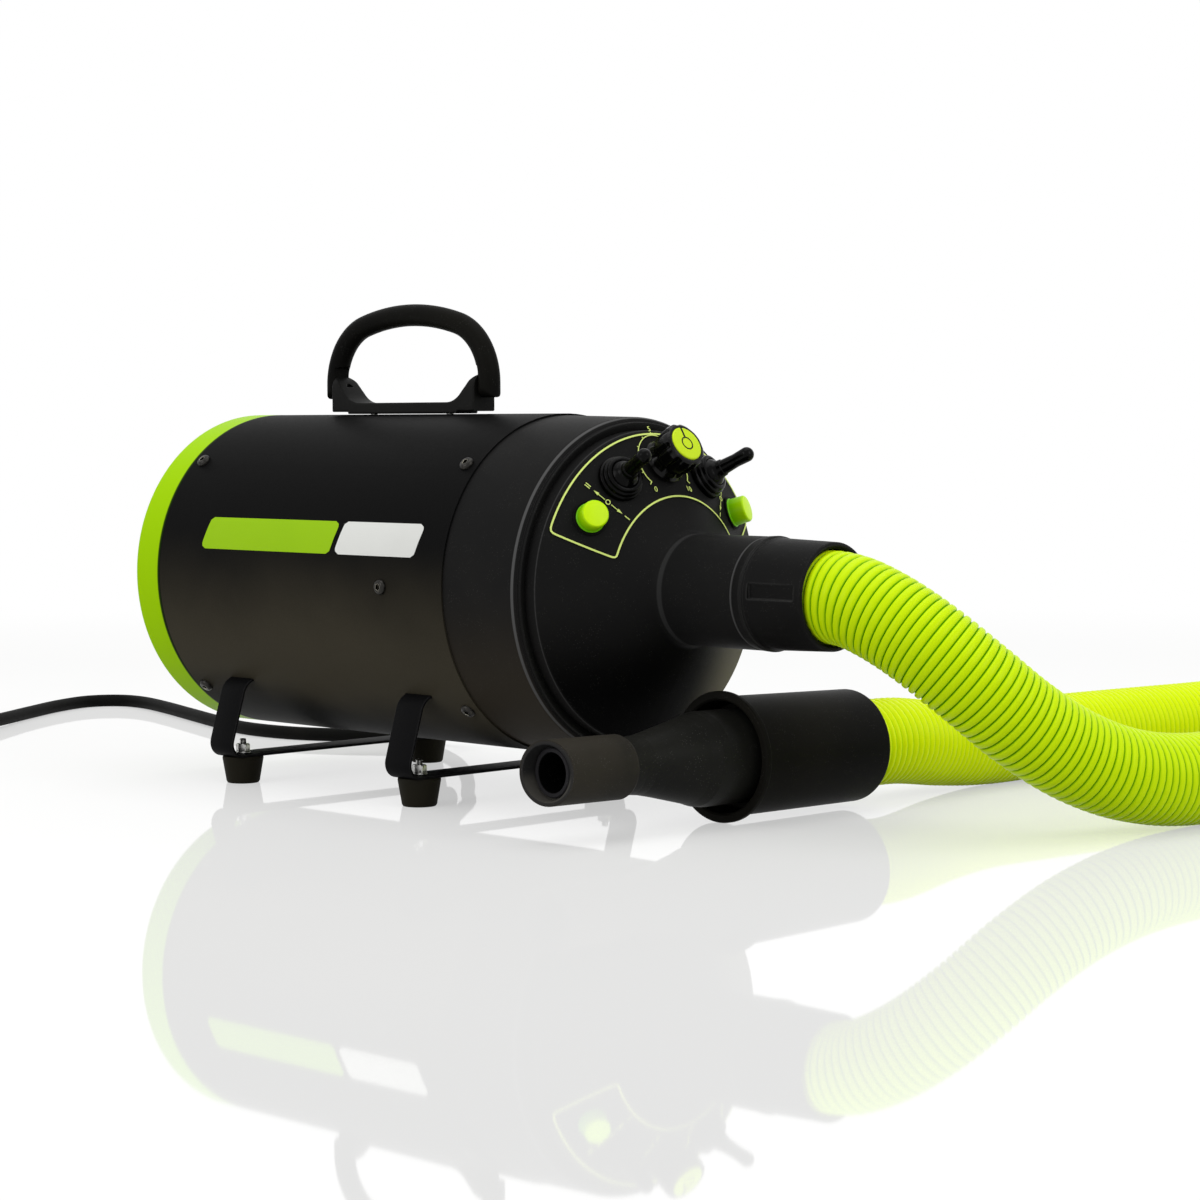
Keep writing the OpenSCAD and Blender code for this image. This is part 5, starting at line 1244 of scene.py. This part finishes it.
SCREW_R, SCREW_H, SCREW_SHANK_R, SCREW_INSET = 4, 2.4, 2, 8.5
BULKHEAD_X = 12  # of the two longer screws that hold the front bulkhead


def make_drum_details():
    """Ten button-head screws, and the stepped edge of the cone's plate inside the housing's lip."""
    ends = (SLEEVE_X0 + SCREW_INSET, SLEEVE_X1 - SCREW_INSET)
    places = [(x, a, 8) for x in ends for a in (45, 135, -135, -45)]
    places += [(BULKHEAD_X, a, 14) for a in (90, -90)]
    screws = [placed(socket_screw(SCREW_R, SCREW_H, SCREW_SHANK_R, depth), round_drum(x, a))
              for x, a, depth in places]
    piece("drum_screws", screws, "bright_steel", DARK_ZINC, ("sleeve_screws",))
    ring = rounded([(LIP_X - 1.5, 80.9), (LIP_X - 1.5, 85.3), (LIP_X + 2.1, 85.3, 0.5),
                    (LIP_X + 2.1, 84.0), (LIP_X + 1.2, 80.9)], steps=4)
    piece("cone_step", placed(lathe(ring, 160), ALONG_DRUM), "black_moulding", BLACK["body"])


make_drum_details()

# ---- Hose's cuff, grip and nozzle ----

INTO_GRIP = Vector(grip_point(1) - GRIP_POS).normalized()
ALONG_GRIP = moved(*GRIP_POS) @ INTO_GRIP.to_track_quat("Z", "Y").to_matrix().to_4x4()
WINDOW_X, WINDOW_LEN, WINDOW_W = 212.5, 29.3, 7.7
TIP_START, TIP_BORE_R = 69.7, 9.7  # from the grip's rim to the nozzle's tip


def make_cuff():
    """The hose's cuff: a ring against the neck, a groove and a body with a window on each side."""
    outline = rounded([(181, 21.5), (181, 24.2), (182.5, 24.8), (203, 24.8), (203, 28.6, 0.4),
                       (208.2, 28.9, 0.4), (208.6, 27.9, 0.2), (209.8, 27.9, 0.2), (210.2, 28.2, 0.3),
                       (212.5, 27.8, 0.5), (245.6, 26.8, 0.9), (246.4, 25.2, 0.6), (245, 23.6, 0.4),
                       (206, 23.4), (206, 21.5)], steps=4)
    window = extrude(rounded_box(0, 0, WINDOW_LEN, WINDOW_W, 0.5), -2.4, 2.4)
    cutters = [placed(window, moved(WINDOW_X, s * 28.4, AXIS_Z - 1) @ turned("X", 90)) for s in (1, -1)]
    piece("cuff_sleeve", placed(lathe(outline, 128), ALONG_DRUM), "black_moulding", BLACK["cuff"],
          ("hose_cuff",), cutters=cutters)


def make_grip():
    """The grip: a flared rim, a long tube with a rounded end and the socket inside it."""
    outline = rounded([(1, 28.5, 0.3), (0, 29.5, 0.4), (0, 33.2, 0.9), (3.2, 33.2, 0.6), (4.1, 32.0, 0.4),
                       (4.6, 30.7, 0.3), (6.5, 30.3, 2), (GRIP_LEN, 29.4, 4.6), (GRIP_LEN, 23.4, 0.4),
                       (73, 23.4), (73, 18.5), (51, 18.5), (51, 24.15), (14, 24.15), (14, 26.35),
                       (90, 26.35), (90, 27.6)], steps=6)
    return piece("grip_sleeve", placed(lathe(outline, 128), ALONG_GRIP), "black_moulding", BLACK["grip"],
                 ("grip_tube",), sharp=40)


def tip_wear_and_shading(p, colour, dull, cloud, smear):
    """The nozzle's tip: browner and duller than the rest, with its mouth's rings painted in light and
    shade.

    With d the way from the tip's start and u the nozzle's direction, a place is d . u ahead of that
    start and |d x u| from the nozzle's axis.
    """
    away = p.vector("SUBTRACT", p.place, Vector(grip_point(-TIP_START)) * MM)
    tip = p.vector("DOT_PRODUCT", away, -INTO_GRIP).ramp(0, 0.6 * MM)
    out = p.vector("LENGTH", p.vector("CROSS_PRODUCT", away, -INTO_GRIP))
    colour = p.mix(tip, colour, p.mix(smear.ramp(0.3, 0.75), rgb(45, 42, 36), rgb(31, 30, 27)))
    # the wall inside the mouth is painted paler low down, where light falls on it
    wall = p.mix(p.axis(2).ramp(29 * MM, 36 * MM), rgb(66, 64, 60), rgb(34, 34, 34))
    # the rim's face, the wall inside it and the ring round the bore, each within its radius and in a
    # painted tone of light and shade
    for start, end, shade in ((6, 5.5, rgb(42, 41, 40)), (4.8, 4.2, wall), (2.8, 2.2, rgb(34, 33, 35))):
        inside = out.ramp((TIP_BORE_R + start) * MM, (TIP_BORE_R + end) * MM)
        colour = p.mix(tip * inside, colour, shade)
    # the bore is painted near black: painted shade
    bore = out.ramp((TIP_BORE_R + 0.3) * MM, TIP_BORE_R * MM)
    return p.mix(bore, colour, rgb(3, 3, 3)), dull + tip * 0.12


make_cuff()
dress("nozzle", moulding("black_nozzle", rgb(18, 18, 18), rgb(28, 28, 25), 0.38, 1800, gloss=0.06,
                         specks=0.5, wear_and_painted_light=tip_wear_and_shading))
tool_pieces = (make_grip(), "nozzle")

# ---- Cord's gland, ties and plug ----

TIE_W, TIE_T = 12, 0.9
BLADE_GAP, BLADE_T, EARTH_R, EARTH_OFF = 12.7, 1.5, 2.4, 5.2


def oval(z, a, b, power):
    """A ring |x/a|^n + |y/b|^n = 1 at z: round for n = 2 and squarer as n grows."""
    t = full_turn(64)
    x, y = np.cos(t), np.sin(t)
    return np.column_stack([a * np.sign(x) * np.abs(x) ** (2 / power),
                            b * np.sign(y) * np.abs(y) ** (2 / power), np.full(len(t), float(z))])


def ribbed(start, stop, r0, r1, pitch, depth):
    """Levels (z, R) of a taper from r0 to r1 with square-sided ribs, pitch apart and depth deep."""
    levels = []
    for z in np.arange(start, stop - pitch, pitch):
        r = r0 + (r1 - r0) * (z - start) / (stop - start)
        levels += [(z, r), (z + 0.5 * pitch, r), (z + 0.6 * pitch, r - depth), (z + 0.9 * pitch, r - depth)]
    return levels + [(stop, r1)]


def make_gland():
    """A moulded gland: a nut inside the skin, a flange outside it and a ribbed tail for the cord."""
    tail_end = GLAND_FLANGE_H + RELIEF_LEN
    flange = rounded([(0, 6.2), (0, 9, 0.4), (3.2, 9, 0.8), (GLAND_FLANGE_H, 7.6, 0.4), (4.6, 7.4)],
                     closed=False)[1:-1].tolist()
    outline = [(-10, 0), (-10, 6.2), (0, 6.2)] + flange + ribbed(4.6, tail_end, 7.4, 5.5, 4.6, 0.8)
    stem = lathe(outline + [(tail_end, 0)], 56, closed=False)
    inner_nut = placed(nut(13.2, 4.5, 6.3), moved(0, 0, -6.4))
    piece("gland_tail", [placed(s, round_drum(GLAND_X, GLAND_ANGLE)) for s in (stem, inner_nut)],
          "black_rubber", replaces=("cord_gland",), sharp=50)


def make_ties():
    """Two flat straps, each a closed loop round all the turns of the coil."""
    low, high = 0.5, 2 * CORD_R + COIL_LIFT + COIL_STEP_Z + 0.75
    inner = COIL_INNER_R - CORD_R - 1.55
    outer = COIL_INNER_R + COIL_PITCH * COIL_TURNS / 2 + CORD_R + 0.85
    path = [(r, 0, z) for r, z in rounded_box(inner, low, outer, high, 2, 6)]
    loop = strap(path, (0, 1, 0), TIE_W, TIE_T, 0.3, closed=True)
    loops = [placed(loop, moved(*COIL_CENTRE, 0) @ turned("Z", a)) for a in (120, 320)]
    return piece("tie_straps", loops, "black_moulding", BLACK["body"], ("cord_ties",), sharp=50)


def make_plug():
    """A plug with a ribbed tail and a waist for the fingers, two flat blades and a round earth pin."""
    rings = [oval(z, r, r, 2) for z, r in ribbed(0, PLUG_RELIEF, 5.4, 8.2, 3.6, 0.7)]
    rings += [oval(*row) for row in (
        (22.6, 9.6, 8.4, 2.6), (24.5, 11.4, 9.2, 3.2), (28, 12.7, 9.9, 4), (33, 12.9, 10, 4.4),
        (41, 12.1, 9.3, 4.4), (49, 12.9, 10, 4.6), (56.8, 12.9, 10, 4.6), (57.6, 12.6, 9.7, 4.6),
        (PLUG_RELIEF + PLUG_LEN, 12, 9.1, 4.6))]
    turn = moved(*PLUG_POS) @ turned("X", -90)
    body = piece("plug_grip", placed(loft(rings), turn), "black_rubber", replaces=("plug_body",), sharp=45)
    face = turn @ moved(0, 0, PLUG_RELIEF + PLUG_LEN)
    blade = extrude(rounded_box(-BLADE_T / 2, -5.3, BLADE_T / 2, 1, 0.2), -1, 16, 0.35)
    earth = spun([(-1, 0), (-1, EARTH_R), (19, EARTH_R, 1.6), (19, 0)], 40)
    pins = [placed(blade, face @ moved(s * BLADE_GAP / 2, 0, 0)) for s in (1, -1)]
    pins.append(placed(earth, face @ moved(0, EARTH_OFF, 0)))
    return body, piece("plug_blades", pins, SLOTS["plug_pins"], replaces=("plug_pins",))


make_gland()
cord_pieces = (make_ties(), *make_plug())

# ---- Stage, world and lamps ----

FLOOR_GLOW, FLOOR_MIRROR = 0.69, 0.3
FADE_START, FADE_END = 0.85, 1.7  # metres from the middle, where the floor fades to white
SKY_LIGHT = 0.7


def seen_directly(tree):
    """1 for rays from the camera, from gloss and through glass, and 0 for the rays that light things."""
    path = add_node(tree, "ShaderNodeLightPath").outputs
    seen = Maths(tree, path["Is Camera Ray"])
    return seen.most(path["Is Glossy Ray"]).most(path["Is Transmission Ray"])


def make_stage():
    """A pale polished floor: it keeps shadows and a faint mirror image, and fades to white far out."""
    bpy.ops.mesh.primitive_plane_add(size=24, location=(0, 0, 0))
    floor = bpy.context.active_object
    floor.name = "floor"
    p = Paint("floor_white", Specular_IOR_Level=0.0)
    cloud = p.noise(3, 3)
    p.set("Base Color", p.mix(cloud, rgb(160, 160, 159), rgb(164, 164, 163)))
    p.set("Roughness", 0.8 - cloud * 0.1)
    seen = seen_directly(p.tree)
    glow = p.node("ShaderNodeEmission", {}, {"Strength": seen * FLOOR_GLOW})
    lit = p.node("ShaderNodeAddShader", {}, {0: p.shader.outputs[0], 1: glow.outputs[0]})
    mirror = p.node("ShaderNodeBsdfGlossy", {}, {"Roughness": 0.03})
    polished = p.node("ShaderNodeMixShader", {}, {0: FLOOR_MIRROR, 1: lit.outputs[0], 2: mirror.outputs[0]})
    white = p.node("ShaderNodeEmission", {}, {"Strength": 1.0})
    far = p.vector("LENGTH", p.place).ramp(FADE_START, FADE_END) * seen
    fade = p.node("ShaderNodeMixShader", {}, {0: far, 1: polished.outputs[0], 2: white.outputs[0]})
    p.tree.links.new(fade.outputs[0], p.tree.nodes["Material Output"].inputs[0])
    floor.data.materials.append(p.material)


def make_world():
    """White where it is seen, directly or in gloss, and a softer white as light."""
    world = bpy.data.worlds.new("world")
    bpy.context.scene.world = world
    world.use_nodes = True
    tree = world.node_tree
    tree.nodes.clear()
    soft, white = (add_node(tree, "ShaderNodeBackground", {}, {0: (1, 1, 1, 1), 1: strength}).outputs[0]
                   for strength in (SKY_LIGHT, 1.0))
    mix = add_node(tree, "ShaderNodeMixShader", {}, {0: seen_directly(tree), 1: soft, 2: white})
    add_node(tree, "ShaderNodeOutputWorld", {}, {0: mix.outputs[0]})


def soft_box(name, place, target, width, height, power):
    """A rectangular lamp at place that looks at target, in metres and watts."""
    data = bpy.data.lights.new(name, "AREA")
    data.shape = "RECTANGLE"
    data.size, data.size_y, data.energy = width, height, power
    lamp = bpy.data.objects.new(name, data)
    lamp.location = place
    lamp.rotation_euler = (Vector(target) - Vector(place)).to_track_quat("-Z", "Y").to_euler()
    bpy.context.scene.collection.objects.link(lamp)


make_stage()
make_world()
soft_box("top_box", (0.1, 0.0, 1.9), (0.05, 0, 0.1), 1.8, 1.2, 12)
soft_box("left_box", (-0.3, -1.9, 1.0), (0, 0, 0.15), 1.0, 1.0, 9)
soft_box("front_box", (1.9, 0.2, 1.1), (0.2, 0, 0.1), 0.9, 1.0, 9)
bpy.context.scene.view_settings.view_transform = "Standard"

CORD_START * MM
